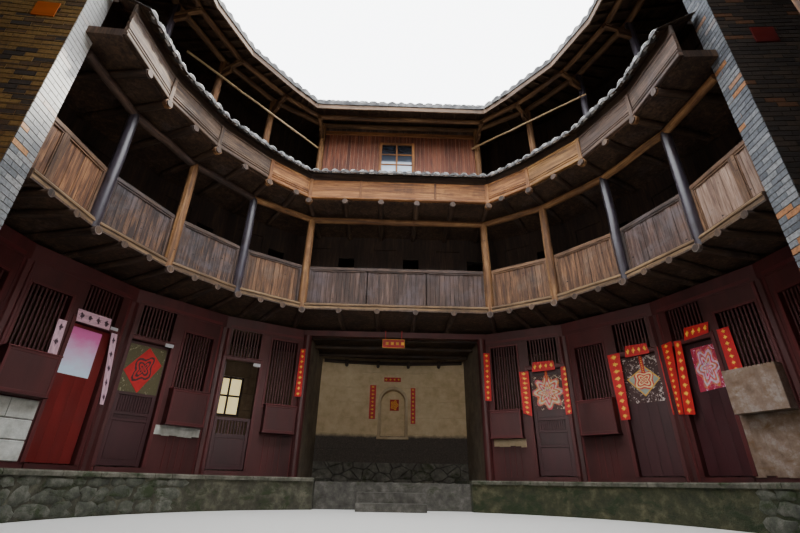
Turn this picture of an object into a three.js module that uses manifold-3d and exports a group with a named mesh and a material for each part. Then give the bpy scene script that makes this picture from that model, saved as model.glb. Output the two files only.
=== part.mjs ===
// Round rammed-earth house of three storeys around an open courtyard.
// Millimetres, +Z up. The origin lies on the ground at the middle of the courtyard.
// The ancestral hall is at +Y and the gateway at -Y. Angles run from +Y towards +X.
import * as THREE from "three";
import { mergeVertices } from "three/addons/utils/BufferGeometryUtils.js";
import Module from "manifold-3d";

const wasm = await Module();
wasm.setup();

// Plan: one room takes one module of the circle, the hall takes three and the entrance two
const MODULE = 120 / 7;
const STATION = MODULE / 4;
const FAR_CORNERS = [-5.5, -4.5, -3.5, -2.5, -1.5, 1.5, 2.5, 3.5, 4.5, 5.5].map((k) => k * MODULE);
const NEAR_CORNERS = [5.5, 6.5, 7.5, 8.5, 9.5, 11.5, 12.5, 13.5, 14.5, 15.5].map((k) => k * MODULE);
const NEAR_GALLERY = NEAR_CORNERS.slice(1, -1);
const HALL_CORNER = 1.5 * MODULE;
const GALLERY_R = 4700;
const DEEP_OVERHANG = -500;
const ROOM_FRONT_R = 5970;
const WALL_IN_R = 8225;
const WALL_OUT_R = 9300;
const WALL_TOP_OUT_R = 9200;
const FIT = 0.3;

// Heights
const PLINTH_TOP = 900;
const PODIUM_TOP = 465;
const HALL_FLOOR = 415;
const GROUND_WALL_TOP = 3600;
const FLOOR_2_BOTTOM = 3700;
const FLOOR_2_TOP = 3850;
const RAIL_TOP = 4750;
const RING_LOG_2 = 5964;
const FLOOR_3_BOTTOM = 6160;
const FLOOR_3_TOP = 6300;
const FASCIA_BOTTOM = 6191;
const RING_LOG_3 = 8940;
const ROOM_FRONT_TOP = 9450;
const WALL_TOP = 9048.7;

// Main roof
const EAVE_OUT = -961;
const EAVE_NOMINAL_R = 3700;
const EAVE_BOTTOM = 8592;
const EAVE_TOP = 8858;
const RIDGE_R = 6900;
const RIDGE_TOP = 10465;
const ROOF_THICK = EAVE_TOP - EAVE_BOTTOM;
const OUTER_EAVE_R = 10500;
const OUTER_EAVE_TOP = 8665;
const RIDGE_CAP_WIDE = 260;
const RIDGE_CAP_HIGH = 150;

// Skirt roof over the third-floor parapet
const SKIRT_EDGE_OUT = -775;
const SKIRT_EDGE_TOP = 6858;
const SKIRT_BACK_OUT = -95;
const SKIRT_BACK_TOP = 7240;
const SKIRT_THICK = 62;

// Timber sections
const POST_2_R = 92;
const POST_3_R = 80;
const RING_LOG_R = 75;
const PURLIN_R = 70;
const JOIST_2_R = 55;
const JOIST_3_R = 65;
const ROOM_FRONT_THICK = 100;
const FASCIA_OUT = -587;
const FASCIA_THICK = 47;
const SKIRT_RISE = (SKIRT_BACK_TOP - SKIRT_EDGE_TOP) / (SKIRT_BACK_OUT - SKIRT_EDGE_OUT);
const FASCIA_TOP = SKIRT_EDGE_TOP - SKIRT_THICK + SKIRT_RISE * (FASCIA_OUT - SKIRT_EDGE_OUT) - FIT;

// Ground-floor fronts: the rooms beside the hall, from the hall post to the fire wall
const HALL_POST_X = 2040;
const HALL_POST_Y = 5380;
const FRONT_R = Math.hypot(HALL_POST_X, HALL_POST_Y);
const FRONT_START = THREE.MathUtils.radToDeg(Math.atan2(HALL_POST_X, HALL_POST_Y));
const FRONT_STEP = (5.5 * MODULE - FRONT_START) / 4;
const FRONT_CORNERS = [0, 1, 2, 3, 4].map((k) => FRONT_START + k * FRONT_STEP);
const FRONT_BAY = 2 * FRONT_R * Math.sin(THREE.MathUtils.degToRad(FRONT_STEP / 2));
const FRONT_THICK = 120;
const SEGMENT_TOP = 3330;
const DOOR_BOTTOM = 580;
const DOOR_TOP = 2670;
const DOOR_WIDE = 710;
const DOOR_FROM_AB = 1010;
const DOOR_FROM_CD = 200;
const LEAF_THICK = 42;
const LEAF_PLAY = 8;
const LINTEL_HIGH = 90;
const THRESHOLD_TOP = DOOR_BOTTOM - 10;
const PIN_R = 6;
const PIN_IN_LEAF = 80;
const STUD_WIDE = 45;

// Small helpers
const rad = THREE.MathUtils.degToRad;
const deg = THREE.MathUtils.radToDeg;

function plan(r, angle) {
  return new THREE.Vector2(r * Math.sin(rad(angle)), r * Math.cos(rad(angle)));
}

// Point of a bay: s along it, out from its line
function bayPoint(bay, s, out) {
  const along = new THREE.Vector2(Math.cos(rad(bay.mid)), -Math.sin(rad(bay.mid)));
  return plan(bay.reach + out, bay.mid).add(along.multiplyScalar(s));
}

function raised(at, z) {
  return new THREE.Vector3(at.x, at.y, z);
}

function solid(geometry) {
  const bare = geometry.clone();
  bare.deleteAttribute("normal");
  bare.deleteAttribute("uv");
  const merged = mergeVertices(bare, 1e-3);
  const vertProperties = new Float32Array(merged.attributes.position.array);
  const triVerts = new Uint32Array(merged.index.array);
  return new wasm.Manifold(new wasm.Mesh({ numProp: 3, vertProperties, triVerts }));
}

function joined(parts) {
  return parts.reduce((sum, part) => sum.add(part));
}

function cut(body, holes) {
  return holes.reduce((rest, hole) => rest.subtract(hole), body);
}

// Box by its lowest and highest corner
function box(x0, x1, y0, y1, z0, z1) {
  const g = new THREE.BoxGeometry(x1 - x0, y1 - y0, z1 - z0);
  g.translate((x0 + x1) / 2, (y0 + y1) / 2, (z0 + z1) / 2);
  return solid(g);
}

// Box in a bay's own directions: along it, outwards from its line, and up
function bayBox(bay, s0, s1, out0, out1, z0, z1) {
  const g = new THREE.BoxGeometry(s1 - s0, out1 - out0, z1 - z0);
  g.translate((s0 + s1) / 2, bay.reach + (out0 + out1) / 2, (z0 + z1) / 2);
  g.rotateZ(-rad(bay.mid));
  return solid(g);
}

// Upright round post
function post(at, radius, z0, z1, sides = 8) {
  const g = new THREE.CylinderGeometry(radius, radius, z1 - z0, sides);
  g.rotateX(Math.PI / 2);
  g.translate(at.x, at.y, (z0 + z1) / 2);
  return solid(g);
}

// Round log between two points
function log(from, to, radius, sides = 8) {
  const g = new THREE.CylinderGeometry(radius, radius, from.distanceTo(to), sides);
  const along = new THREE.Vector3().subVectors(to, from).normalize();
  g.applyQuaternion(new THREE.Quaternion().setFromUnitVectors(new THREE.Vector3(0, 1, 0), along));
  g.translate((from.x + to.x) / 2, (from.y + to.y) / 2, (from.z + to.z) / 2);
  return solid(g);
}

// Straight bays between the corners of a storey, moved outwards by out
function baysOf(corners, radius, out = 0) {
  return corners.slice(1).map((to, i) => ({
    mid: (to + corners[i]) / 2,
    reach: radius * Math.cos(rad((to - corners[i]) / 2)) + out,
    half: radius * Math.sin(rad((to - corners[i]) / 2)),
  }));
}

// Corner points of the straight-sided line through a storey's posts, moved outwards by out.
// Deep overhangs of the hall's bay run straight on, so their corners lie right in front of its posts.
function cornerPoints(corners, radius, out, straightOn = out < DEEP_OVERHANG) {
  const bays = baysOf(corners, radius, out);
  return corners.map((angle, i) => {
    if (straightOn && Math.abs(Math.abs(angle) - HALL_CORNER) < 1) {
      return plan(radius, angle).add(new THREE.Vector2(0, out));
    }
    const a = bays[Math.max(i - 1, 0)];
    const b = bays[Math.min(i, bays.length - 1)];
    if (a === b) return plan(a.reach / Math.cos(rad(angle - a.mid)), angle);
    const [sa, ca] = [Math.sin(rad(a.mid)), Math.cos(rad(a.mid))];
    const [sb, cb] = [Math.sin(rad(b.mid)), Math.cos(rad(b.mid))];
    const det = sa * cb - sb * ca;
    return new THREE.Vector2((a.reach * cb - b.reach * ca) / det, (sa * b.reach - sb * a.reach) / det);
  });
}

// A profile of (outward, up) points carried over a row of stations; place gives each point on the plan
function carried(profile, count, place) {
  const shape = new THREE.Shape(profile.map(([u, z]) => new THREE.Vector2(u, z)));
  const g = new THREE.ExtrudeGeometry(shape, { depth: count - 1, steps: count - 1, bevelEnabled: false });
  const p = g.attributes.position;
  for (let i = 0; i < p.count; i++) {
    const at = place(p.getX(i), Math.round(p.getZ(i)));
    p.setXYZ(i, at.x, at.y, p.getY(i));
  }
  return solid(g);
}

function alongBays(profile, corners, radius) {
  return carried(profile, corners.length, (out, i) => cornerPoints(corners, radius, out)[i]);
}

function rectangle(u0, u1, z0, z1) {
  return [[u0, z0], [u1, z0], [u1, z1], [u0, z1]];
}

function disc(u, z, radius, sides = 8) {
  return Array.from({ length: sides }, (_, k) => {
    const a = (2 * Math.PI * (k + 0.5)) / sides;
    return [u + radius * Math.cos(a), z + radius * Math.sin(a)];
  });
}

function stations(from, to) {
  const n = Math.round((to - from) / STATION);
  return Array.from({ length: n + 1 }, (_, k) => from + k * STATION);
}

// Ring sector with a profile given in radius and height
function ring(profile, from, to) {
  const at = stations(from, to);
  return carried(profile, at.length, (r, i) => plan(r, at[i]));
}

// Slab from a straight-sided inner line to the round wall
function slab(inner, from, to, z0, z1) {
  const outer = stations(from, to).reverse().map((a) => plan(WALL_IN_R - FIT, a));
  const shape = new THREE.Shape([...inner, ...outer]);
  const g = new THREE.ExtrudeGeometry(shape, { depth: z1 - z0, bevelEnabled: false });
  g.translate(0, 0, z0);
  return solid(g);
}

// Fire walls of slim grey brick, one on each side, and the clear space kept for them
const FIRE_WALL_AT = 5.5 * MODULE;
const FIRE_WALL_IN_R = 4650;
const FIRE_WALL_THICK = 390;
const FIRE_WALL_CLEAR_R = 3200;

function fireWall(side) {
  const low = (r) => roofUnderside(r, FIRE_WALL_AT) - 12;
  const outline = [
    [FIRE_WALL_IN_R, PODIUM_TOP + FIT], [WALL_IN_R - 30, PODIUM_TOP + FIT],
    [WALL_IN_R - 30, low(WALL_IN_R)], [RIDGE_R, low(RIDGE_R)], [FIRE_WALL_IN_R, low(FIRE_WALL_IN_R)],
  ];
  const shape = new THREE.Shape(outline.map(([r, z]) => new THREE.Vector2(r, z)));
  const g = new THREE.ExtrudeGeometry(shape, { depth: FIRE_WALL_THICK, bevelEnabled: false });
  g.translate(0, 0, -FIRE_WALL_THICK / 2);
  g.rotateX(Math.PI / 2);
  g.rotateZ(rad(90 - side * FIRE_WALL_AT));
  return solid(g);
}

function fireWallSpace(side, from) {
  const half = FIRE_WALL_THICK / 2 + FIT;
  const bay = { mid: side * FIRE_WALL_AT, reach: 0 };
  return bayBox(bay, -half, half, from, WALL_IN_R + 100, 100, RIDGE_TOP);
}

function clearOfFireWalls(body, from = FIRE_WALL_CLEAR_R) {
  return cut(body, [fireWallSpace(-1, from), fireWallSpace(1, from)]);
}

// What passes in front of the fire walls is cut only where they stand
const pastFireWalls = (body) => clearOfFireWalls(body, FIRE_WALL_IN_R - FIT);

// Main roof: straight eaves over the courtyard, round ridge, round outer eave
const ALL_CORNERS = [...FAR_CORNERS, ...NEAR_CORNERS.slice(1)];
const EAVE_LINE = cornerPoints(ALL_CORNERS, GALLERY_R, EAVE_OUT);

// Distance from the middle to the eave in one direction
function eaveRadius(angle) {
  const ray = plan(1, angle);
  const turn = (point) => point.cross(ray);
  const crosses = (a, b) => b && turn(a) < 1e-6 && turn(b) > 1e-6;
  const i = EAVE_LINE.findIndex((a, k) => crosses(a, EAVE_LINE[k + 1]));
  const [a, b] = [EAVE_LINE[i], EAVE_LINE[i + 1]];
  return b.cross(a) / b.clone().sub(a).cross(ray);
}

// Stations of the roof: the even ones and those at the eave's corners
function roofStations(from, to) {
  const even = stations(from, to);
  const turned = EAVE_LINE.map((p) => deg(Math.atan2(p.x, p.y)));
  const apart = (a) => even.every((e) => Math.abs(e - a) > 0.3);
  const extra = [...turned, ...turned.map((a) => a + 360)].filter((a) => a > from && a < to && apart(a));
  return [...even, ...extra].sort((p, q) => p - q);
}

function roofUnderside(r, angle) {
  const top = RIDGE_TOP - ROOF_THICK;
  if (r >= RIDGE_R) return top - ((r - RIDGE_R) * (RIDGE_TOP - OUTER_EAVE_TOP)) / (OUTER_EAVE_R - RIDGE_R);
  const eave = eaveRadius(angle);
  return EAVE_BOTTOM + ((r - eave) * (top - EAVE_BOTTOM)) / (RIDGE_R - eave);
}

function mainRoof(from, to) {
  const at = roofStations(from, to);
  const capBase = RIDGE_TOP - 60;
  const [capIn, capOut] = [RIDGE_R - RIDGE_CAP_WIDE / 2, RIDGE_R + RIDGE_CAP_WIDE / 2];
  const profile = [
    [EAVE_NOMINAL_R, EAVE_BOTTOM], [RIDGE_R, RIDGE_TOP - ROOF_THICK],
    [OUTER_EAVE_R, OUTER_EAVE_TOP - ROOF_THICK],
    [OUTER_EAVE_R, OUTER_EAVE_TOP], [capOut, capBase], [capOut, capBase + RIDGE_CAP_HIGH],
    [capIn, capBase + RIDGE_CAP_HIGH], [capIn, capBase], [EAVE_NOMINAL_R, EAVE_TOP],
  ];
  return carried(profile, at.length, (u, i) => {
    const share = Math.max(0, (RIDGE_R - u) / (RIDGE_R - EAVE_NOMINAL_R));
    return plan(u < RIDGE_R ? RIDGE_R - share * (RIDGE_R - eaveRadius(at[i])) : u, at[i]);
  });
}

// Skirt roof: one slope per bay, resting on the fascia and mitred at the corners
function skirtRoof(corners) {
  const seat = FASCIA_TOP + FIT;
  return alongBays([
    [SKIRT_EDGE_OUT, SKIRT_EDGE_TOP - SKIRT_THICK], [FASCIA_OUT, seat],
    [SKIRT_BACK_OUT, SKIRT_BACK_TOP - SKIRT_THICK], [SKIRT_BACK_OUT, SKIRT_BACK_TOP],
    [FASCIA_OUT, seat + SKIRT_THICK], [SKIRT_EDGE_OUT, SKIRT_EDGE_TOP],
  ], corners, GALLERY_R);
}

// Log joists: one under each post corner and some between, each from the courtyard side to the rooms
function joists(corners, between, z, radius, from, to, sides = 8) {
  const inner = cornerPoints(corners, GALLERY_R, from).slice(1, -1);
  const outer = cornerPoints(corners, GALLERY_R, to, from < DEEP_OVERHANG).slice(1, -1);
  const logs = inner.map((at, i) => log(raised(at, z), raised(outer[i], z), radius, sides));
  baysOf(corners, GALLERY_R).forEach((bay) => {
    const count = between(bay);
    for (let k = 1; k <= count; k++) {
      const s = bay.half * (-1 + (2 * k) / (count + 1));
      logs.push(log(raised(bayPoint(bay, s, from), z), raised(bayPoint(bay, s, to), z), radius, sides));
    }
  });
  return logs;
}

const isHallBay = (bay) => Math.abs(bay.mid) < 1;
const isEntranceBay = (bay) => Math.abs(bay.mid - 180) < 1;

// Second floor: boarded slab on logs whose ends show under the gallery
const SILL_OUT = -60;
const JOIST_2_OUT = -150;
const JOIST_2_TO = 1500;

function floor2Far() {
  const edge = cornerPoints(FAR_CORNERS, GALLERY_R, SILL_OUT);
  const deck = slab(edge, FAR_CORNERS[0], FAR_CORNERS.at(-1), FLOOR_2_BOTTOM, FLOOR_2_TOP);
  const z = GROUND_WALL_TOP + FIT + JOIST_2_R;
  const count = (bay) => (isHallBay(bay) ? 4 : 2);
  const logs = joists(FAR_CORNERS, count, z, JOIST_2_R, JOIST_2_OUT, JOIST_2_TO);
  return clearOfFireWalls(joined([deck, ...logs]));
}

// On the near side the deck stops at the room fronts in the two bays beside the fire walls
function nearDeckEdge(out) {
  const gallery = cornerPoints(NEAR_GALLERY, GALLERY_R, out);
  const back = cornerPoints(NEAR_CORNERS, ROOM_FRONT_R, -20);
  return [back[0], back[1], ...gallery, back.at(-2), back.at(-1)];
}

function floor2Near() {
  const edge = nearDeckEdge(SILL_OUT);
  const deck = slab(edge, NEAR_CORNERS[0], NEAR_CORNERS.at(-1), FLOOR_2_BOTTOM, FLOOR_2_TOP);
  const z = GROUND_WALL_TOP + FIT + JOIST_2_R;
  const between = (bay) => (isEntranceBay(bay) ? 3 : 1);
  const logs = joists(NEAR_GALLERY, between, z, JOIST_2_R, JOIST_2_OUT, JOIST_2_TO, 6);
  return clearOfFireWalls(joined([deck, ...logs]));
}

// Second-floor gallery: posts under a ring log, and the boarded balustrade behind them
function galleryPosts(corners, radius, z0, z1) {
  return cornerPoints(corners, GALLERY_R, 0).map((at) => post(at, radius, z0, z1));
}

function galleryFrame2Far() {
  const ringLog = alongBays(disc(0, RING_LOG_2, RING_LOG_R), FAR_CORNERS, GALLERY_R);
  const posts = galleryPosts(FAR_CORNERS, POST_2_R, FLOOR_2_TOP + FIT, RING_LOG_2).slice(1, -1);
  return clearOfFireWalls(joined([ringLog, ...posts]));
}

const BOARD_OUT = 45;
const BOARD_THICK = 45;
const RAIL_THICK = 85;
const RAIL_HIGH = 80;

function balustrade(corners) {
  const z0 = FLOOR_2_TOP + FIT;
  const back = BOARD_OUT + RAIL_THICK;
  const boards = rectangle(BOARD_OUT, BOARD_OUT + BOARD_THICK, z0, RAIL_TOP - 1);
  const rail = rectangle(BOARD_OUT - 25, back, RAIL_TOP - RAIL_HIGH, RAIL_TOP);
  const foot = rectangle(BOARD_OUT - 10, back, z0, FLOOR_2_TOP + RAIL_HIGH);
  return joined([boards, rail, foot].map((profile) => alongBays(profile, corners, GALLERY_R)));
}

function balustrade2Far() {
  const clear = galleryPosts(FAR_CORNERS, POST_2_R + 2, FLOOR_2_TOP - 50, RING_LOG_2).slice(1, -1);
  return clearOfFireWalls(cut(balustrade(FAR_CORNERS), clear));
}

function gallery2Near() {
  const ringLog = alongBays(disc(0, RING_LOG_2, RING_LOG_R), NEAR_GALLERY, GALLERY_R);
  const posts = galleryPosts(NEAR_GALLERY, POST_2_R, FLOOR_2_TOP + FIT, RING_LOG_2);
  return joined([ringLog, balustrade(NEAR_GALLERY), ...posts, ...galleryEnds()]);
}

// The near gallery stops short of the fire walls; a boarded return closes each end
function galleryEnds() {
  const half = BOARD_THICK / 2;
  return [NEAR_GALLERY[0], NEAR_GALLERY.at(-1)].map((angle) => {
    const line = { mid: angle, reach: 0 };
    return bayBox(line, -half, half, GALLERY_R, ROOM_FRONT_R - 60, FLOOR_2_TOP + FIT, RAIL_TOP);
  });
}

// Third floor: deck on logs that reach past the posts
const DECK_3_OUT = FASCIA_OUT + FASCIA_THICK + FIT;
const JOIST_3_OUT = -640;
const JOIST_3_TO = 1030;

function floor3Far() {
  const edge = cornerPoints(FAR_CORNERS, GALLERY_R, DECK_3_OUT);
  const deck = slab(edge, FAR_CORNERS[0], FAR_CORNERS.at(-1), FLOOR_3_BOTTOM, FLOOR_3_TOP);
  const z = RING_LOG_2 + RING_LOG_R + FIT + JOIST_3_R;
  const count = (bay) => (isHallBay(bay) ? 4 : 1);
  const logs = joists(FAR_CORNERS, count, z, JOIST_3_R, JOIST_3_OUT, JOIST_3_TO);
  return pastFireWalls(joined([deck, ...logs]));
}

function floor3Near() {
  const edge = nearDeckEdge(DECK_3_OUT);
  const deck = slab(edge, NEAR_CORNERS[0], NEAR_CORNERS.at(-1), FLOOR_3_BOTTOM, FLOOR_3_TOP);
  const z = RING_LOG_2 + RING_LOG_R + FIT + JOIST_3_R;
  const between = (bay) => (isEntranceBay(bay) ? 3 : 1);
  const logs = joists(NEAR_GALLERY, between, z, JOIST_3_R, JOIST_3_OUT, JOIST_3_TO, 6);
  return clearOfFireWalls(joined([deck, ...logs]));
}

// Fascia boards that close the front of the third floor, with a batten at each corner
const BATTEN_HALF = 38;
const BATTEN_PROUD = 26;
const BATTEN_TOP = FASCIA_TOP - 30;

function fascia(corners) {
  const profile = rectangle(FASCIA_OUT, FASCIA_OUT + FASCIA_THICK, FASCIA_BOTTOM, FASCIA_TOP);
  const boards = alongBays(profile, corners, GALLERY_R);
  const battens = cornerPoints(corners, GALLERY_R, FASCIA_OUT).slice(1, -1).map((at) => {
    const g = new THREE.BoxGeometry(2 * BATTEN_HALF, 2 * BATTEN_PROUD, BATTEN_TOP - FASCIA_BOTTOM);
    g.rotateZ(-Math.atan2(at.x, at.y));
    g.translate(at.x, at.y, (BATTEN_TOP + FASCIA_BOTTOM) / 2);
    return solid(g);
  });
  return joined([boards, ...battens]);
}

// Third-floor posts with the beam behind the skirt roof and the purlin under the rafters
const SKIRT_BEAM_BOTTOM = 7160;
const SKIRT_BEAM_TOP = 7290;
const EAVE_PURLIN_OUT = -560;
const EAVE_PURLIN_Z = 8690;
const EAVE_PURLIN_R = 60;
const ARM_TOP = 8660;
const ARM_HIGH = 150;
const ARM_HALF = 42;

// Bracket arm from a post towards the courtyard, carrying the purlin near the eave
function arm(at, tip) {
  const reach = at.distanceTo(tip) + 90;
  const g = new THREE.BoxGeometry(2 * ARM_HALF, reach, ARM_HIGH);
  g.translate(0, -reach / 2, ARM_TOP - ARM_HIGH / 2);
  g.rotateZ(-Math.atan2(at.x - tip.x, at.y - tip.y));
  g.translate(at.x, at.y, 0);
  return solid(g);
}

function galleryFrame3(corners, postless) {
  const purlin = alongBays(disc(0, RING_LOG_3, PURLIN_R, 6), corners, GALLERY_R);
  const eavePurlin = alongBays(disc(EAVE_PURLIN_OUT, EAVE_PURLIN_Z, EAVE_PURLIN_R, 6), corners, GALLERY_R);
  const keep = (points) => (postless ? points.slice(1, -1) : points);
  const posted = keep(cornerPoints(corners, GALLERY_R, 0));
  const tips = keep(cornerPoints(corners, GALLERY_R, EAVE_PURLIN_OUT));
  const posts = posted.map((at) => post(at, POST_3_R, FLOOR_3_TOP + FIT, RING_LOG_3));
  const arms = posted.map((at, i) => arm(at, tips[i]));
  return clearOfFireWalls(joined([purlin, eavePurlin, ...posts, ...arms]));
}

// Beam between the third-floor posts, under the back edge of the skirt roof
const SKIRT_BEAM_OUT = 45;

function skirtBeam(corners) {
  const profile = rectangle(SKIRT_BACK_OUT + FIT, SKIRT_BEAM_OUT, SKIRT_BEAM_BOTTOM, SKIRT_BEAM_TOP);
  const beam = alongBays(profile, corners, GALLERY_R);
  const space = galleryPosts(corners, POST_3_R + FIT, FLOOR_3_TOP, RING_LOG_3);
  return clearOfFireWalls(cut(beam, space));
}

// Boarded wall with one window at the middle of the third floor
const HALL_WINDOW = { x0: -494, x1: 348, z0: 7380, z1: 8342 };
const HALL_WALL_TOP = RING_LOG_3 - PURLIN_R - 12;
const HALL_WALL_HALF = 22;
const HALL_HEAD = { half: 50, z0: 8620, z1: 8730 };

function hallWindowWall() {
  const bay = baysOf(FAR_CORNERS, GALLERY_R).find(isHallBay);
  const half = bay.half - POST_3_R - 12;
  const foot = SKIRT_BEAM_TOP + FIT;
  const wall = bayBox(bay, -half, half, -HALL_WALL_HALF, HALL_WALL_HALF, foot, HALL_WALL_TOP);
  const head = bayBox(bay, -half, half, -HALL_HEAD.half, HALL_HEAD.half, HALL_HEAD.z0, HALL_HEAD.z1);
  const { x0, x1, z0, z1 } = HALL_WINDOW;
  return cut(joined([wall, head]), [bayBox(bay, x0, x1, -200, 200, z0, z1)]);
}

// Room fronts of the upper floors: each bay with a closed door leaf and a window cut through
const LEAF_RECESS = 32;
const ROOM_PITCH = 1640;
const ROOM_LEAF = { s0: -620, s1: -20, z0: 90, z1: 1960 };
const UPPER_WINDOW = { s0: 160, s1: 560, z0: 1050, z1: 1700 };

function roomsOfBay(bay) {
  if (isHallBay(bay)) return [-1, 0, 1];
  return isEntranceBay(bay) ? [-0.5, 0.5] : [0];
}

function roomFronts(corners, z0, z1) {
  const face = ROOM_FRONT_THICK / 2;
  const wall = alongBays(rectangle(-face, face, z0, z1), corners, ROOM_FRONT_R);
  const hole = (bay, s, w, out0, out1) => bayBox(bay, s + w.s0, s + w.s1, out0, out1, z0 + w.z0, z0 + w.z1);
  const holes = baysOf(corners, ROOM_FRONT_R).flatMap((bay) => roomsOfBay(bay).flatMap((k) => [
    hole(bay, k * ROOM_PITCH, ROOM_LEAF, -200, -face + LEAF_RECESS),
    hole(bay, k * ROOM_PITCH, ROOM_LEAF, face - LEAF_RECESS, 200),
    hole(bay, k * ROOM_PITCH, UPPER_WINDOW, -200, 200),
  ]));
  return clearOfFireWalls(cut(wall, holes));
}

// Podium under the rooms and the walk in front of them, open at the hall and at the gateway
const PODIUM_IN_R = 3760;
const PODIUM_HALL_END = 1325;
const HALL_WIDE_FROM = 5490;
const GATE_HALL_HALF = 1696;

function podium(side) {
  const [from, to] = side > 0 ? [0, 180] : [-180, 0];
  const whole = ring(rectangle(PODIUM_IN_R, WALL_IN_R - FIT, 0, PODIUM_TOP), from, to);
  return cut(whole, [
    box(-PODIUM_HALL_END, PODIUM_HALL_END, 3000, HALL_WIDE_FROM, -100, 1000),
    box(-HALL_POST_X, HALL_POST_X, HALL_WIDE_FROM, 9000, -100, 1000),
    box(-GATE_HALL_HALF, GATE_HALL_HALF, -9000, -3000, -100, 1000),
  ]);
}

const HALL_FLOOR_EDGE = 3700;

function hallFloor() {
  const whole = ring(rectangle(3000, WALL_IN_R - FIT, 0, HALL_FLOOR), -7 * STATION, 7 * STATION);
  const end = PODIUM_HALL_END - FIT;
  const narrow = box(-end, end, HALL_FLOOR_EDGE, HALL_WIDE_FROM + 50, 0, 1000);
  const wide = box(-HALL_POST_X + FIT, HALL_POST_X - FIT, HALL_WIDE_FROM + FIT, 9000, 0, 1000);
  return whole.intersect(joined([narrow, wide]));
}

const STEP_X0 = -590;
const STEP_X1 = 530;
const STEP_TREAD = 290;
const STEP_TOPS = [115, 265];

function hallSteps() {
  const edge = HALL_FLOOR_EDGE - FIT;
  const step = (top, i) => box(STEP_X0, STEP_X1, edge - (2 - i) * STEP_TREAD, edge, 0, top);
  return joined(STEP_TOPS.map(step));
}

// Hall frame: two round posts and the beam over the open front
const HALL_POST_R = 100;
const HALL_BEAM_BOTTOM = 3470;
const HALL_BEAM_HALF = 75;
const HALL_BEAM_END = HALL_POST_X + 90;

function hallPost(side, radius, z0, z1) {
  return post(new THREE.Vector2(side * HALL_POST_X, HALL_POST_Y), radius, z0, z1, 12);
}

function hallFrame() {
  const sides = [-1, 1].map((k) => hallPost(k, HALL_POST_R, PODIUM_TOP + FIT, HALL_BEAM_BOTTOM + 10));
  const [y0, y1] = [HALL_POST_Y - HALL_BEAM_HALF, HALL_POST_Y + HALL_BEAM_HALF];
  return joined([box(-HALL_BEAM_END, HALL_BEAM_END, y0, y1, HALL_BEAM_BOTTOM, GROUND_WALL_TOP), ...sides]);
}

const HALL_SIDE_THICK = 160;
const HALL_SIDE_FROM = HALL_POST_Y + HALL_POST_R + 12;

function hallSideWall() {
  const [x0, x1] = [HALL_POST_X, HALL_POST_X + HALL_SIDE_THICK];
  const wall = box(x0, x1, HALL_SIDE_FROM, 9000, PODIUM_TOP + FIT, GROUND_WALL_TOP - FIT);
  return wall.intersect(ring(rectangle(4000, WALL_IN_R - FIT, 0, 5000), 2 * STATION, 6 * STATION));
}

// Ground-floor front of one side, cut into the pieces between the doors that open
const WINDOW_A = { s0: 220, s1: 800, z0: 1880, z1: 3250 };
const WINDOW_B = { s0: 220, s1: 800, z0: 1900, z1: 3020 };
const WINDOW_C = { s0: 1080, s1: 1690, z0: 2030, z1: 3020 };
const WINDOW_D = { s0: 220, s1: 800, z0: 1900, z1: 3020 };
const CLOSED_DOOR = { s0: 1010, s1: 1610, out0: 12, out1: 40 };
const CUPBOARDS = [
  { bay: 0, s0: 140, s1: 800, z0: 1300, z1: 1820 },
  { bay: 1, s0: 150, s1: 860, z0: 1300, z1: 1900 },
  { bay: 2, s0: 1020, s1: 1740, z0: 1440, z1: 2020 },
];
const BOX_OUT = -190;
const FRONT_POST_R = 88;

function frontBays() {
  return baysOf(FRONT_CORNERS, FRONT_R);
}

// Rectangle of one front bay, measured from its end nearer the hall
function frontBox(index, s0, s1, out0, out1, z0, z1) {
  const bay = frontBays()[index];
  return bayBox(bay, s0 - FRONT_BAY / 2, s1 - FRONT_BAY / 2, out0, out1, z0, z1);
}

function frontWindow(index, w) {
  return frontBox(index, w.s0, w.s1, -300, 300, w.z0, w.z1);
}

function threshold(index, s0) {
  const z0 = PODIUM_TOP + FIT;
  return frontBox(index, s0 - 5, s0 + DOOR_WIDE - FIT, -25, FRONT_THICK + 20, z0, THRESHOLD_TOP);
}

function cupboard({ bay, s0, s1, z0, z1 }) {
  return frontBox(bay, s0, s1, BOX_OUT, 20, z0, z1);
}

// Doors that open: index of the front bay and where the doorway starts
const DOORS = [
  { bay: 0, from: DOOR_FROM_AB },
  { bay: 1, from: DOOR_FROM_AB },
  { bay: 2, from: DOOR_FROM_CD },
];

// Space taken by the hall post and by the hall's side wall
function hallCornerSpace() {
  return [
    hallPost(1, HALL_POST_R + 2, 0, 5000),
    box(0, HALL_POST_X + HALL_SIDE_THICK + FIT, HALL_SIDE_FROM - FIT, 9000, 0, 5000),
  ];
}

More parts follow.
